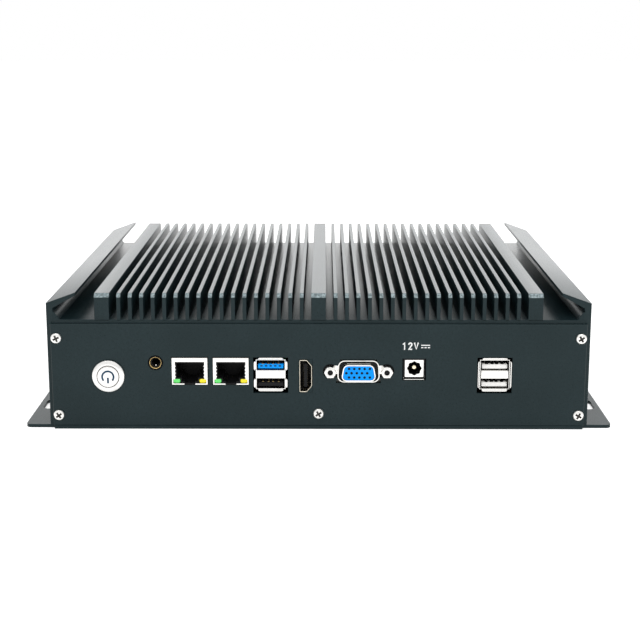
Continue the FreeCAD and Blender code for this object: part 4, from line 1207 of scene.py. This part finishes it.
@dataclass
class AudioSocket(Assembly):
    """Round socket: black nose, thin gilt ring and the tip of a contact spring in the bore."""

    nose: float = 3.08
    seat: float = 2.78
    ring: float = 0.34
    seat_deep: float = 1.6
    bore: float = 1.8
    shoulder: float = 2.4
    ease: float = 0.08

    def build(self) -> None:
        """Make the nose with its block, the ring and the spring."""
        body, ring = Span.of("audio_jack_body"), Span.of("audio_jack_ring")
        across, up, front = ring.middle.x, ring.middle.z, body.low.y
        shoulder, seat = front + self.shoulder, front + self.seat_deep
        nose = [(self.seat, front), (self.nose - 0.12, front), (self.nose, front + 0.15),
                (self.nose, shoulder + 0.3), (self.bore, shoulder + 0.3), (self.bore, seat),
                (self.seat, seat)]
        piece = self.piece("audio_body", Slot.BLACK).turned(nose, across, up)
        hole = round_outline(self.bore, 32, across, up)
        piece.plate(shoulder, body.high.y, 0.2, body.face(), hole).done("audio_jack_body")
        start, end, ease = ring.low.y, ring.high.y, self.ease
        outer, inner = self.seat - 0.1, self.seat - self.ring
        rim = [(inner, end), (inner, start + ease), (inner + ease, start), (outer - ease, start),
               (outer, start + ease), (outer, end)]
        self.piece("audio_ring", Slot.CONTACT).turned(rim, across, up, 64).done("audio_jack_ring")
        low = up - self.bore
        spring = rounded(box_outline(across - 0.3, low, across + 0.3, low + 0.55), 0.15)
        self.piece("audio_spring", Slot.SHELL).plate(seat + 0.3, body.high.y - 2, 0.08, spring).done()


@dataclass
class NetworkJacks(Assembly):
    """Two network jacks, latch side down, each with a pressed shield, lamps and eight contact wires."""

    sheet: float = 0.3
    frame_side: float = 1.4
    frame_top: float = 1.85
    sill: float = 0.55
    notch: float = 2.45
    lamp_outer: float = 7.3
    lamp_inner: float = 4.2
    lamp_high: float = 1.85
    teeth: tuple[float, ...] = (-3.3, -4.9, -6.5, -8.1)
    tooth: float = 0.28
    wire: float = 0.45
    wire_count: int = 8

    def build(self) -> None:
        """Make both jacks and their lamps."""
        for tag in ("a", "b"):
            self.shield(tag)
            self.ledges(tag)
            self.wires(tag)
        self.lamps("green", Slot.GREEN_LAMP)
        self.lamps("yellow", Slot.YELLOW_LAMP)

    def mask(self, half: float, high: float) -> Outline:
        """Outline of the shield's face: a frame, open at the latch, with gripping teeth on its sides.

        Args:
            half: half of the face's width.
            high: its height.

        Returns:
            The outline, with its top at 0.
        """
        side, lamp_top = half - self.frame_side, self.sill - high + self.lamp_high
        right = [(self.notch, -high), (half, -high), (half, 0)]
        inner = [(side, -self.frame_top)]
        for level in self.teeth:
            inner += [(side, level), (side - self.tooth, level - 0.3), (side - self.tooth, level - 0.6),
                      (side, level - 0.9)]
        inner += [(side, lamp_top), (self.lamp_outer, lamp_top), (self.lamp_outer, self.sill - high),
                  (self.notch, self.sill - high)]
        return right + flipped(right) + flipped(inner) + inner

    def shield(self, tag: str) -> None:
        """Make the face and the tube of one shield.

        Args:
            tag: the jack's letter.
        """
        node = "lan_jack_" + tag + "_shield"
        span = Span.of(node)
        low, high = span.low, span.high
        mask = moved(self.mask((high.x - low.x) / 2, high.z - low.z), span.middle.x, high.z)
        piece = self.piece("network_shield_" + tag, Slot.SHELL).plate(low.y, low.y + self.sheet, 0.07, mask)
        piece.tube(rounded(span.face(), 0.35), rounded(span.face(-self.sheet), 0.1), low.y + 0.15, high.y)
        piece.done(node)

    def ledges(self, tag: str) -> None:
        """Make the housing's small steps beside the latch, just behind the shield's face, and the latch.

        Args:
            tag: the jack's letter.
        """
        housing, shield = (Span.of("lan_jack_" + tag + part) for part in ("_housing", "_shield"))
        low, front = housing.low.z + self.sill - self.sheet, housing.low.y
        piece = self.piece("network_ledges_" + tag, Slot.BLACK)
        for side in SIDES:
            for across, half_wide, half_high in ((3.225, 0.875, 0.25), (3.9, 0.2, 1.1)):
                step = around(housing.middle.x + side * across, low + half_high, half_wide, half_high)
                piece.plate(front - 0.25, front + 0.2, 0.08, step)
        middle, start, notch = shield.middle.x, shield.low.y, self.notch - 0.05
        latch = box_outline(middle - notch, shield.low.z + 0.01, middle + notch,
                            shield.low.z + self.sill - 0.1)
        piece.plate(start + 0.06, start + 1.5, 0.05, latch).done()

    def wires(self, tag: str) -> None:
        """Make the rounded spring wires that slope down from the roof of one socket.

        Args:
            tag: the jack's letter.
        """
        node = "lan_jack_" + tag + "_contacts"
        low, high, half = Span.of(node).low, Span.of(node).high, self.wire / 2
        path = ((high.z - half, low.y), (high.z - half - 0.15, low.y + 0.5), (low.z + half, high.y))
        wire = self.piece("network_wires_" + tag, Slot.CONTACT)
        wire.loft([(round_outline(half, 8, 0, up), depth) for up, depth in path], caps=True)
        pitch = (high.x - low.x - self.wire) / (self.wire_count - 1)
        self.row(wire, low.x + half, pitch, self.wire_count, node)

    def lamps(self, colour: str, slot: Slot) -> None:
        """Make the lenses of one colour, one in each jack, with a domed front.

        Args:
            colour: the colour's name.
            slot: the lenses' slot.
        """
        node = "lan_lamps_" + colour
        low, high, wide = Span.of(node).low, Span.of(node).high, self.lamp_outer - self.lamp_inner
        dome = ((0.02, high.y), (0.02, low.y + 0.15), (0.14, low.y - 0.05), (0.36, low.y - 0.16),
                (0.7, low.y - 0.2))
        piece = self.piece("network_lamps_" + colour, slot)
        for left in (low.x, high.x - wide):
            outline = box_outline(left, low.z, left + wide, high.z)
            piece.loft([(rounded(inset(outline, step), 0.72 - step * 0.7), depth) for step, depth in dome],
                       caps=True)
        piece.done(node, sharp=60)


@dataclass
class DataStack(Assembly):
    """Two data slots in one pressed shell with lips that spread from its mouth."""

    tag: str = "a"
    tongues: tuple[tuple[str, Slot], ...] = ()
    split_sides: bool = True
    # Black contact strips, as painted shade on contacts in the slot's shadow; this also leaves the fast pins
    # out
    dark_contacts: bool = False
    half: float = 6.55
    sheet: float = 0.3
    slot_high: float = 4.75
    band: float = 3.4
    lip: float = 0.9
    lip_proud: float = 0.5
    lip_half: float = 5.5
    lip_corner: float = 0.75
    tongue_half: float = 5.6
    tongue_thick: float = 1.95
    tongue_rise: float = 0.75
    root: float = 7.5
    bare: float = 1.3
    strips: tuple[float, ...] = (-3.5, -1.0, 1.0, 3.5)
    pin_pitch: float = 2.05

    def __post_init__(self) -> None:
        """Read the shell's box and find the floors of both slots."""
        self.node = "data_stack_" + self.tag
        self.span = Span.of(self.node + "_shell")
        self.centre, self.face = self.span.middle.x, self.span.low.y + self.lip_proud
        self.inner = self.half - self.sheet
        self.top = self.span.high.z - self.lip
        upper = self.top - self.sheet - self.slot_high
        self.floors = (upper, upper - self.slot_high - self.band)

    def build(self) -> None:
        """Make the shell, the tongues and their contacts."""
        self.shell()
        for number, floor in enumerate(self.floors):
            node, slot = self.tongues[min(number, len(self.tongues) - 1)]
            self.tongue(node, slot, floor, "data_tongue_" + self.tag + str(number + 1))
        self.contacts()
        if not self.dark_contacts:
            self.fast_pins()

    def sections(self, start: float, end: float) -> list[tuple[Outline, float]]:
        """Sections of a lip along its length, with rounded ends.

        Args:
            start: where it starts.
            end: where it ends.

        Returns:
            Outlines of (depth, outwards), each with its place.
        """
        ahead, thick, sections = self.lip_proud, self.sheet, []
        for place, reach in ((start, 0.55), (start + 0.25, 0.85), (start + 0.7, 1.0),
                             (end - 0.7, 1.0), (end - 0.25, 0.85), (end, 0.55)):
            out = self.lip * reach
            sections.append(([(1.0, -thick), (0.2, -thick), (0.12 - ahead, out - thick - 0.1),
                              (-ahead, out - thick + 0.06), (-ahead, out - 0.06), (0.08 - ahead, out),
                              (0.3 - ahead, out - 0.02), (0.35, 0.02), (1.0, 0.0)], place))
        return sections

    def shell(self) -> None:
        """Make the front frame, the tube and the lips."""
        centre, face, end, inner = self.centre, self.face, self.span.high.y, self.inner
        top, low = self.top, self.floors[1] - self.sheet
        slots = [rounded(self.mouth(floor), 0.3) for floor in self.floors]
        outer = box_outline(centre - self.half, low, centre + self.half, top)
        piece = self.piece("data_shell_" + self.tag, Slot.SHELL)
        piece.plate(face, face + self.sheet, 0.06, rounded(outer, 0.3), *slots)
        piece.tube(outer, inset(outer, self.sheet), face + 0.2, end)
        for level in (self.floors[0] - 0.03, self.floors[1] + self.slot_high + 0.03):
            shelf = box_outline(face + 0.1, level - 0.14, end, level + 0.14)
            piece.plate(centre - inner, centre + inner, 0.02, shelf, plane=Plane.SIDE)
        for side, edge in ((1, top), (-1, low)):
            piece.loft([([(face + ahead, edge + side * out) for ahead, out in outline], centre + place)
                        for outline, place in self.sections(-self.lip_half, self.lip_half)],
                       caps=True, plane=Plane.SIDE)
        ends = [low + self.lip_corner, top - self.lip_corner]
        if self.split_sides:
            ends[1:1] = [self.floors[1] + self.slot_high - 0.3, self.floors[0] + 0.3]
        for start, stop in zip(ends[::2], ends[1::2]):
            for side in SIDES:
                edge = centre + side * self.half
                piece.loft([([(edge + side * out, face + ahead) for ahead, out in outline], place)
                            for outline, place in self.sections(start, stop)], caps=True, plane=Plane.TOP)
        piece.done(self.node + "_shell", sharp=50)

    def mouth(self, floor: float) -> Outline:
        """Outline of the slot above a floor."""
        return box_outline(self.centre - self.inner, floor, self.centre + self.inner, floor + self.slot_high)

    def tongue(self, node: str, slot: Slot, floor: float, name: str) -> None:
        """Make a tongue with eased front edges, and its root block.

        Args:
            node: the tongue's CAD node.
            slot: its slot.
            floor: floor of the slot that it is in.
            name: the piece's name.
        """
        front, low = Span.of(node).low.y, floor + self.tongue_rise
        back, high = front + self.root, low + self.tongue_thick
        side = [(front + 0.25, low), (back, low), (back, high), (front + 0.45, high), (front, high - 0.4),
                (front, low + 0.25)]
        piece = self.piece(name, slot)
        piece.plate(self.centre - self.tongue_half, self.centre + self.tongue_half, 0.12, side,
                    plane=Plane.SIDE, steps=2).done(node)
        piece = self.piece(name + "_root", Slot.BLACK)
        piece.plate(back - 0.8, Span.of(node).high.y, 0.1, self.mouth(floor)).done()

    def contacts(self) -> None:
        """Make the contact strips on top of each tongue, each with a dark well of painted shade round it, and
        a black cover of painted shade over the rest of the tongue's top.
        """
        node = self.node + "_contacts"
        front, centre, half = Span.of(node).low.y, self.centre, self.tongue_half
        # Painted shade: black wells round the strips, and a black cover over each tongue's top past its first
        # bare millimetres
        wells = self.piece("data_wells_" + self.tag, Slot.BLACK)
        # Where the contacts are shaded, the strips are black: painted shade
        metal = self.palette.finishes[Slot.BLACK if self.dark_contacts else Slot.CONTACT]
        strips = self.piece("data_contacts_" + self.tag, Slot.CONTACT, metal)
        cover = box_outline(centre - half, front + self.bare, centre + half, Span.of(node).high.y)
        for floor in self.floors:
            level = floor + self.tongue_rise + self.tongue_thick
            wells.plate(level - 0.1, level + 0.05, 0.02, cover, plane=Plane.TOP)
            for place in (centre + across for across in self.strips):
                well = rounded(box_outline(place - 0.72, front - 0.02, place + 0.72, front + 6.2), 0.5)
                wells.plate(level - 0.2, level + 0.03, 0.02, well, plane=Plane.TOP)
                strip = rounded(box_outline(place - 0.45, front + 0.15, place + 0.45, front + 6.5), 0.25)
                strips.plate(level - 0.1, level + 0.13, 0.05, strip, plane=Plane.TOP)
        if not self.split_sides:
            low, high = self.floors[1] - 0.1, self.floors[0] + self.slot_high + 0.1
            for seam in (centre + side * (self.half - 0.42) for side in SIDES):
                wells.plate(front - 2.02, front - 1.6, 0.02, box_outline(seam - 0.13, low, seam + 0.13, high))
        wells.done()
        strips.done(node)

    def fast_pins(self) -> None:
        """Make the wells of the five fast pins, along the front of the upper tongue."""
        level = self.floors[0] + self.tongue_rise + self.tongue_thick - 0.75
        front = Span.of(self.tongues[0][0]).low.y
        wells = self.piece("data_pin_wells_" + self.tag, Slot.BLACK)
        for column in range(-2, 3):
            well = rounded(around(self.centre + column * self.pin_pitch, level, 0.55, 0.3), 0.15)
            wells.plate(front - 0.03, front + 0.3, 0.02, well)
        wells.done()


@dataclass
class VideoSocket(Assembly):
    """Upright digital video socket: thin shell with two bevelled corners."""

    sheet: float = 0.3
    bevel: Point = (2.25, 2.8)
    gap: float = 0.12
    tongue: Point = (0.75, 5.4)

    def build(self) -> None:
        """Make the shell with its rolled mouth, the collar round it and the tongue."""
        span, body = Span.of("video_shell"), Span.of("video_body")
        low, high, (across, up) = span.low, span.high, self.bevel
        outline = [(low.x, low.z), (high.x - across, low.z), (high.x, low.z + up), (high.x, high.z - up),
                   (high.x - across, high.z), (low.x, high.z)]
        steps = ((0.0, high.y), (0.0, low.y + 0.1), (0.1, low.y), (self.sheet - 0.08, low.y),
                 (self.sheet, low.y + 0.1), (self.sheet, high.y))
        warm = PlatedMetal("warm_plate", (0.80, 0.74, 0.62), (0.6, 0.52, 0.4))
        piece = self.piece("video_socket_shell", Slot.SHELL, warm)
        piece.loft([(rounded(inset(outline, step), 0.5 - step), depth) for step, depth in steps], ring=True)
        piece.done("video_shell")
        face, hole = Span.of("front_panel").low.y, rounded(inset(outline, -self.gap), 0.5)
        piece = self.piece("video_collar", Slot.SHEET)
        piece.plate(face + 0.02, face + 1.6, 0.03, span.face(0.2), hole).done()
        shade = PlatedMetal("shaded_gilt", (0.10, 0.085, 0.06), (0.05, 0.04, 0.03))
        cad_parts["video_contacts"].material_slots[0].material = self.palette.of(shade)
        tongue = rounded(around(span.middle.x, span.middle.z, *self.tongue), 0.4)
        block = box_outline(body.low.x + 0.02, body.low.z + 0.02, body.high.x - 0.02, body.high.z)
        piece = self.piece("video_tongue", Slot.BLACK)
        piece.plate(body.low.y, high.y + 0.5, 0.15, tongue, steps=2)
        piece.plate(high.y, body.high.y, 0.15, block).done("video_body")


@dataclass
class DsubSocket(Assembly):
    """Fifteen-way D socket: flange, raised skirt and snout, insert with its pin holes, and jackscrews."""

    snout: Point = (15.8, 7.6)
    skirt: Point = (19.2, 10.2)
    skirt_proud: float = 0.4
    proud: float = 3.9
    panel: float = 2.0
    slope: float = 0.1763
    skirt_slope: float = 0.06
    sheet: float = 0.55
    corner: float = 2.3
    pin_hole: float = 0.5
    pin_pitch: float = 2.29
    pin_shift: float = 0.3
    row_pitch: float = 1.97
    screw_across: float = 4.75
    screw_spacing: float = 25.0
    screw_bore: float = 1.25
    # Outer and inner radius of the black arcs of painted shadow round each jackscrew
    shadow_arc: Point = (3.24, 2.2)

    def __post_init__(self) -> None:
        """Find the socket's axis, the panel's depths, the jackscrews and the shaded finish."""
        self.span, self.screw_span = Span.of("dsub_shell"), Span.of("dsub_jackscrews")
        self.axis = (self.screw_span.middle.x, self.screw_span.middle.z)
        self.face = self.span.low.y + self.proud
        self.behind = self.face + self.panel
        self.screws = [(self.axis[0] + side * self.screw_spacing / 2, self.axis[1]) for side in SIDES]
        # Dark plate of painted shade, for the flange behind the panel and the snout's sides
        self.shade = PlatedMetal("shaded_plate", (0.05, 0.05, 0.045), (0.03, 0.03, 0.03))

    def outline(self, size: Point, shrink: float) -> Outline:
        """D outline, wide side down, with rounded corners; the skirt's leans less.

        Args:
            size: width and height.
            shrink: how far the edges are moved inwards.

        Returns:
            The outline about the socket's axis.
        """
        outer, wide, high = size == self.skirt, size[0] / 2, size[1] / 2
        top = wide - size[1] * (self.skirt_slope if outer else self.slope)
        corners = inset([(-wide, -high), (wide, -high), (top, high), (-top, high)], shrink)
        return moved(rounded(corners, max(0.4, self.corner + (0.7 if outer else 0) - shrink), 6), *self.axis)

    def build(self) -> None:
        """Make the flange, the shell, the parts in and round it, and the jackscrews."""
        self.flange()
        self.shell()
        self.shadows()
        self.insert()
        self.jackscrews()

    def flange(self) -> None:
        """Make the flange with its mouth and its two holes, in the dark plate of painted shade."""
        holes = [round_outline(1.5, 24, *screw) for screw in self.screws]
        piece = self.piece("dsub_socket_flange", Slot.SHELL, self.shade)
        piece.plate(self.behind, self.behind + 0.9, 0.1, rounded(self.span.face(), 1.0),
                    self.outline(self.skirt, 0.5), *holes).done("dsub_shell")

    def shell(self) -> None:
        """Make the skirt and the snout that are pressed out of the flange, and a plate on each side."""
        face, behind, front, skirt, snout = self.face, self.behind, self.span.low.y, self.skirt, self.snout
        rim = face - self.skirt_proud
        smooth = PlatedMetal("polished_plate", smooth=0.07, rough=0.16, marks=(1, 1, 1))
        piece = self.piece("dsub_socket_shell", Slot.SHELL, smooth)
        for side in SIDES:
            ear = rounded(around(self.axis[0] + side * 9.9, self.axis[1] + 0.5, 1.0, 2.0), 0.4)
            piece.plate(face + 0.9, behind + 0.02, 0.15, ear, steps=2)
        steps = ((skirt, 0.0, behind + 0.1), (skirt, 0.0, rim + 0.35), (skirt, 0.1, rim + 0.08),
                 (skirt, 0.25, rim), (skirt, 0.45, rim), (skirt, 0.55, rim + 0.1), (skirt, 0.6, face + 1.2),
                 (snout, -0.3, face + 1.2), (snout, -0.05, face + 0.9), (snout, 0.0, front + 0.16),
                 (snout, 0.16, front), (snout, self.sheet - 0.12, front), (snout, self.sheet, front + 0.14),
                 (snout, self.sheet, face + 1.5), (skirt, 0.9, face + 1.7), (skirt, 0.7, behind + 0.1))
        piece.loft([(self.outline(size, shrink), depth) for size, shrink, depth in steps], ring=True)
        piece.done("dsub_shell", sharp=40)

    def shadows(self) -> None:
        """Make the painted shade round the snout: a dark seat between skirt and snout, dark sides on the
        snout and dark arcs round the jackscrews.
        """
        face, behind, skirt, snout = self.face, self.behind, self.skirt, self.snout
        # Painted shade: a black seat in the groove between skirt and snout
        seat = self.piece("dsub_socket_seat", Slot.BLACK)
        seat.plate(face + 0.75, face + 1.1, 0.05, self.outline(skirt, 0.62),
                   self.outline(snout, -0.02)).done()
        # Painted shade: the snout's sides in the dark plate, so that only its front rim is bright
        snout_shade = self.piece("dsub_snout_sides", Slot.SHELL, self.shade)
        snout_shade.plate(self.span.low.y + 0.3, face + 1.0, 0.02, self.outline(snout, -0.02),
                     self.outline(snout, 0.2)).done()
        # Painted shadow: black arcs behind the panel round each jackscrew, open towards the snout
        shadow_arcs, (outer, inner) = self.piece("dsub_washers", Slot.BLACK), self.shadow_arc
        for start, side, screw in zip((math.pi, 0), SIDES, self.screws):
            turns = [math.radians(angle) * side + start for angle in range(-135, 136, 9)]
            arc = [polar(outer, turn) for turn in turns] + [polar(inner, turn) for turn in reversed(turns)]
            shadow_arcs.plate(behind - 0.3, behind + 0.05, 0.05, moved(arc, *screw))
        shadow_arcs.done()

    def insert(self) -> None:
        """Make the insert with fifteen countersunk pin holes, and a black plug of painted shade inside each
        of them.
        """
        span = Span.of("dsub_insert")
        across, up = self.axis[0] + self.pin_shift, self.axis[1]
        places = [(across + (column - 0.5 * (row == 0)) * self.pin_pitch, up + row * self.row_pitch)
                  for row in (1, 0, -1) for column in range(-2, 3)]
        holes = [round_outline(self.pin_hole + 0.08, 16, *place) for place in places]
        body = self.outline(self.snout, self.sheet + 0.05)
        piece = self.piece("dsub_socket_insert", Slot.BLUE)
        piece.plate(span.low.y, span.high.y, 0.12, body, *holes).done("dsub_insert")
        # Painted shade: black plugs just inside the pin holes
        sockets = self.piece("dsub_pin_sockets", Slot.BLACK)
        for place in places:
            socket = round_outline(self.pin_hole + 0.12, 12, *place)
            sockets.plate(span.low.y + 0.35, span.high.y - 0.2, 0.05, socket)
        sockets.done()

    def jackscrews(self) -> None:
        """Make the hexagonal nuts with chamfered corners and a threaded bore, with a black disc of painted
        shade in each bore.
        """
        front, end, back = self.screw_span.low.y, self.screw_span.high.y, self.behind
        half, bore, ridge = self.screw_across / 2, self.screw_bore, self.screw_bore + 0.22
        crown = [(half + 0.12, front + 0.42), (half - 0.15, front + 0.12), (half - 0.5, front),
                 (bore + 0.5, front), (ridge, front + 0.25),
                 *threaded(ridge, 0.22, 0.6, front + 0.3, front + 4.4),
                 (bore + 0.3, front + 4.5), (bore + 0.3, front + 0.6)]
        stud = [(0.0, front + 4.4), (1.1, front + 4.4), *threaded(1.4, 0.2, 0.6, back - 0.2, end), (0.0, end)]
        piece, bore_shades = self.piece("dsub_fasteners", Slot.SCREW), self.piece("dsub_bores", Slot.BLACK)
        for screw in self.screws:
            nut = round_outline(self.screw_across / math.sqrt(3), 6, *screw)
            piece.plate(front + 0.25, back, 0.15, nut, round_outline(bore + 0.25, 24, *screw), steps=2)
            piece.turned(crown, *screw, 36).turned(stud, *screw, 24)
            # Painted shade: a black disc a little way down each bore
            bore_shades.plate(front + 1.1, front + 1.5, 0.05, round_outline(bore, 16, *screw))
        bore_shades.done()
        piece.done("dsub_jackscrews", sharp=30)


@dataclass
class PowerInlet(Assembly):
    """Round power inlet: plated square face with a scalloped bore, centre pin and folded shield."""

    bore: float = 3.2
    scallop: float = 0.38
    scallops: int = 8
    steps: int = 96
    pin: float = 1.2
    sheet: float = 0.3
    lip_drop: float = 1.45
    lip_proud: float = 2.2
    face_thick: float = 0.8

    def build(self) -> None:
        """Make the housing, the pin and the shield."""
        housing, shield, pin = (Span.of("dc_jack_" + part) for part in ("housing", "shield", "pin"))
        axis, left, right = (pin.middle.x, pin.middle.z), shield.low.x, shield.high.x
        back, start, end = housing.low.y + self.face_thick, pin.low.y, pin.high.y
        bore = [polar(self.bore - self.scallop * (0.5 - 0.5 * math.cos(self.scallops * turn)), turn)
                for turn in (TURN * k / self.steps for k in range(self.steps))]
        square = box_outline(housing.low.x + 0.2, housing.low.z + 0.05, housing.high.x - 0.3,
                             housing.high.z - 0.2)
        piece = self.piece("inlet_face", Slot.SHELL)
        piece.plate(housing.low.y, back, 0.12, rounded(square, 0.25), moved(bore, *axis), steps=2)
        piece.done("dc_jack_housing")
        # The inlet's black body, partly painted shade: it is grown past the face on every side to fill the
        # gap round it with black
        block = box_outline(left, housing.low.z - 0.4, right, housing.high.z + 0.35)
        piece = self.piece("inlet_body", Slot.BLACK)
        piece.plate(back - 0.1, end, 0.05, block, round_outline(self.bore, 48, *axis))
        piece.plate(end - 0.2, housing.high.y, 0.05, block).done("dc_jack_housing")
        tip = [(0.0, start), (0.4, start + 0.03), (0.8, start + 0.16), (1.08, start + 0.4),
               (self.pin, start + 0.8), (self.pin, end), (0.0, end)]
        gilt = PlatedMetal("gilt_pin", (0.95, 0.86, 0.62), smooth=0.1, rough=0.2)
        self.piece("inlet_pin", Slot.SHELL, gilt).turned(tip, *axis, 32).done("dc_jack_pin")
        low = housing.low.z - self.lip_drop
        lip = rounded(box_outline(left + 0.5, low, right - 0.5, low + self.sheet), 0.1)
        sides = box_outline(left, low, right, shield.high.z)
        start, end = shield.low.y, shield.high.y
        piece = self.piece("inlet_shield", Slot.SHELL).plate(start, end, 0.05, lip)
        piece.plate(start + self.lip_proud, end, 0.05, sides, inset(sides, self.sheet)).done("dc_jack_shield")


@dataclass
class PanelPrint(Assembly):
    """Printed marking over the power inlet: the voltage and the sign for direct current."""

    glyphs: tuple[Outline, ...] = (
        [(0.06, 0.74), (0.27, 0.93), (0.27, 0.0)],
        [(0.07, 0.70), (0.08, 0.82), (0.15, 0.92), (0.26, 0.95), (0.37, 0.91), (0.43, 0.81), (0.42, 0.68),
         (0.34, 0.52), (0.09, 0.08), (0.46, 0.08)],
        [(0.03, 1.0), (0.26, 0.09), (0.49, 1.0)])
    left: float = 36.9
    right: float = 49.1
    low: float = 36.45
    high: float = 39.7
    advance: float = 2.6
    glyph_wide: float = 3.7
    line: float = 0.6
    ink: float = 0.02

    def stroke(self, path: Outline) -> Outline:
        """Outline of a line of ink along a path, with mitred turns.

        Args:
            path: the path's points.

        Returns:
            The outline.
        """
        sides: tuple[Outline, Outline] = ([], [])
        for k, point in enumerate(path):
            here = Vector(point)
            before = (here - Vector(path[k - 1])) if k else (Vector(path[1]) - here)
            after = (Vector(path[k + 1]) - here) if k + 1 < len(path) else before
            first, second = before.normalized(), after.normalized()
            bend = Vector((-first.y - second.y, first.x + second.x))
            reach = bend / max(0.55, 1 + first.dot(second)) * self.line / 2
            sides[0].append(tuple(here + reach))
            sides[1].append(tuple(here - reach))
        return sides[1] + sides[0][::-1]

    def build(self) -> None:
        """Make the characters and the sign."""
        face, high = Span.of("front_panel").low.y, self.high - self.low
        outlines = []
        for number, glyph in enumerate(self.glyphs):
            start = self.left + number * self.advance
            outlines.append(self.stroke([(start + across * self.glyph_wide, self.low + up * high)
                                         for across, up in glyph]))
        start, middle = self.left + len(self.glyphs) * self.advance + 0.5, self.low + high * 0.45
        dash = (self.right - start) / 4
        outlines.append(box_outline(start, middle + 0.35, self.right, middle + 0.8))
        outlines += [box_outline(left, middle - 0.7, left + dash, middle - 0.25)
                     for left in (start + k * dash * 1.5 for k in range(3))]
        piece = self.piece("panel_marking", Slot.SHEET, PrintedInk("white_ink"))
        for outline in outlines:
            piece.plate(face - self.ink / 2, face + self.ink / 2, 0.004, outline)
        piece.done()


# ---------------------------------------------------------------------------------------------
# Stage
# ---------------------------------------------------------------------------------------------
@dataclass
class Stage:
    """White floor and surroundings, soft lamps and the camera."""

    floor_size: float = 8.0
    floor_level: float = -2e-5
    paper: float = 0.8
    glow: float = 0.55
    surround: float = 0.62
    lens: float = 79.04
    sensor: float = 36.0
    stand: tuple[float, float, float] = (2.211, -706.043, 185.101)
    pitch: float = 12.669
    yaw: float = -0.152
    roll: float = 0.041
    lamps: tuple[tuple[str, tuple[float, float, float], Point, float], ...] = (
        ("overhead", (0.0, 0.15, 1.5), (1.6, 1.2), 8.0),
        ("behind", (0.0, 1.6, 0.5), (3.4, 0.9), 13.5),
        ("front", (0.3, -1.5, 0.9), (1.6, 1.0), 14.0))
    lamp_aim: tuple[float, float, float] = (0.0, 0.0, 0.03)

    def build(self) -> None:
        """Make the floor, the world, the lamps and the camera."""
        bpy.context.scene.view_settings.view_transform = "Standard"
        self.floor()
        self.world()
        for lamp in self.lamps:
            self.lamp(*lamp)
        self.camera()

    def seen_directly(self, graph: Graph) -> bpy.types.NodeSocket:
        """Tell the rays that are seen from the light itself.

        Args:
            graph: the tree to add to.

        Returns:
            One for rays from the eye, from gloss and through glass, and zero for the rest.
        """
        path = graph.add("ShaderNodeLightPath").outputs
        most = graph.math("MAXIMUM", path["Is Camera Ray"], path["Is Glossy Ray"])
        return graph.math("MAXIMUM", most, path["Is Transmission Ray"])

    def floor(self) -> None:
        """Make the pale floor that looks white and keeps the object's shadow."""
        half = self.floor_size / 2
        mesh = bpy.data.meshes.new("floor")
        square = [(*corner, self.floor_level) for corner in around(0, 0, half, half)]
        mesh.from_pydata(square, [], [(0, 1, 2, 3)])
        graph = ShaderGraph("floor_paper")
        glow = graph.math("MULTIPLY", self.seen_directly(graph), self.glow)
        graph.set(Base_Color=(self.paper,) * 3, Roughness=1.0, Specular_IOR_Level=0.0,
                  Emission_Color=(1.0, 1.0, 1.0), Emission_Strength=glow)
        mesh.materials.append(graph.material)
        placed("floor", mesh)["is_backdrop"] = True

    def world(self) -> None:
        """Make white surroundings: at full strength to the eye and to gloss, and softer as light."""
        world = bpy.data.worlds.new("surroundings")
        world.use_nodes = True
        bpy.context.scene.world = world
        graph, inputs = Graph(world.node_tree), world.node_tree.nodes["Background"].inputs
        strength = graph.spread(self.seen_directly(graph), self.surround, 1.0, 0.0, 1.0)
        graph.feed(inputs["Strength"], strength)
        graph.feed(inputs["Color"], (1, 1, 1))

    def lamp(self, name: str, place: Sequence[float], size: Point, power: float) -> None:
        """Make one soft lamp that faces the object.

        Args:
            name: the lamp's name; only the front lamp leaves no highlight.
            place: where it hangs, in metres.
            size: its width and height in metres.
            power: its power in watts.
        """
        light = bpy.data.lights.new(name, "AREA")
        light.shape = "RECTANGLE"
        light.size, light.size_y = size
        light.energy = power
        made = placed(name, light)
        made.location = place
        made.rotation_euler = (Vector(self.lamp_aim) - Vector(place)).to_track_quat("-Z", "Y").to_euler()
        made.visible_camera = False
        made.visible_glossy = name != "front"

    def camera(self) -> None:
        """Make the camera, a little above the panel and looking slightly down."""
        data = bpy.data.cameras.new("camera")
        data.lens = self.lens
        data.sensor_width = self.sensor
        data.clip_start = 0.01
        made = placed("camera", data)
        pitch, yaw, roll = (math.radians(angle) for angle in (self.pitch, self.yaw, self.roll))
        ahead = Vector((math.sin(yaw) * math.cos(pitch), math.cos(yaw) * math.cos(pitch), -math.sin(pitch)))
        right = Vector((math.cos(yaw), -math.sin(yaw), 0))
        up = right.cross(ahead)
        across = right * math.cos(roll) + up * math.sin(roll)
        upright = up * math.cos(roll) - right * math.sin(roll)
        turn = Matrix((across, upright, -ahead)).transposed()
        made.matrix_world = Matrix.Translation(Vector(self.stand) * MM) @ turn.to_4x4()
        bpy.context.scene.camera = made


def corners() -> list[list[float]]:
    """The shown object's box as plain lists."""
    return [[float(value) for value in corner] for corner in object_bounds()]


def main() -> None:
    """Build the stage and every sub-assembly."""
    logging.basicConfig(level=logging.INFO, format="%(name)s %(message)s")
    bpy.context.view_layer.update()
    Stage().build()
    palette = Palette()
    palette.dress_frame()
    shared = (palette, row_tool(), spots_tool())
    stack_a = (("data_stack_a_blue_tongue", Slot.BLUE), ("data_stack_a_black_tongue", Slot.BLACK))
    stack_b = (("data_stack_b_tongues", Slot.WHITE),)
    parts: list[Assembly] = [
        *(kind(*shared) for kind in (Heatsink, CaseScrews, PowerButton, AudioSocket, NetworkJacks)),
        DataStack(*shared, tag="a", tongues=stack_a),
        DataStack(*shared, tag="b", tongues=stack_b, split_sides=False, dark_contacts=True, bare=2.3),
        *(kind(*shared) for kind in (VideoSocket, DsubSocket, PowerInlet, PanelPrint))]
    for part in parts:
        part.build()
        LOG.info("%s built", type(part).__name__)


if __name__ == "__main__":
    main()
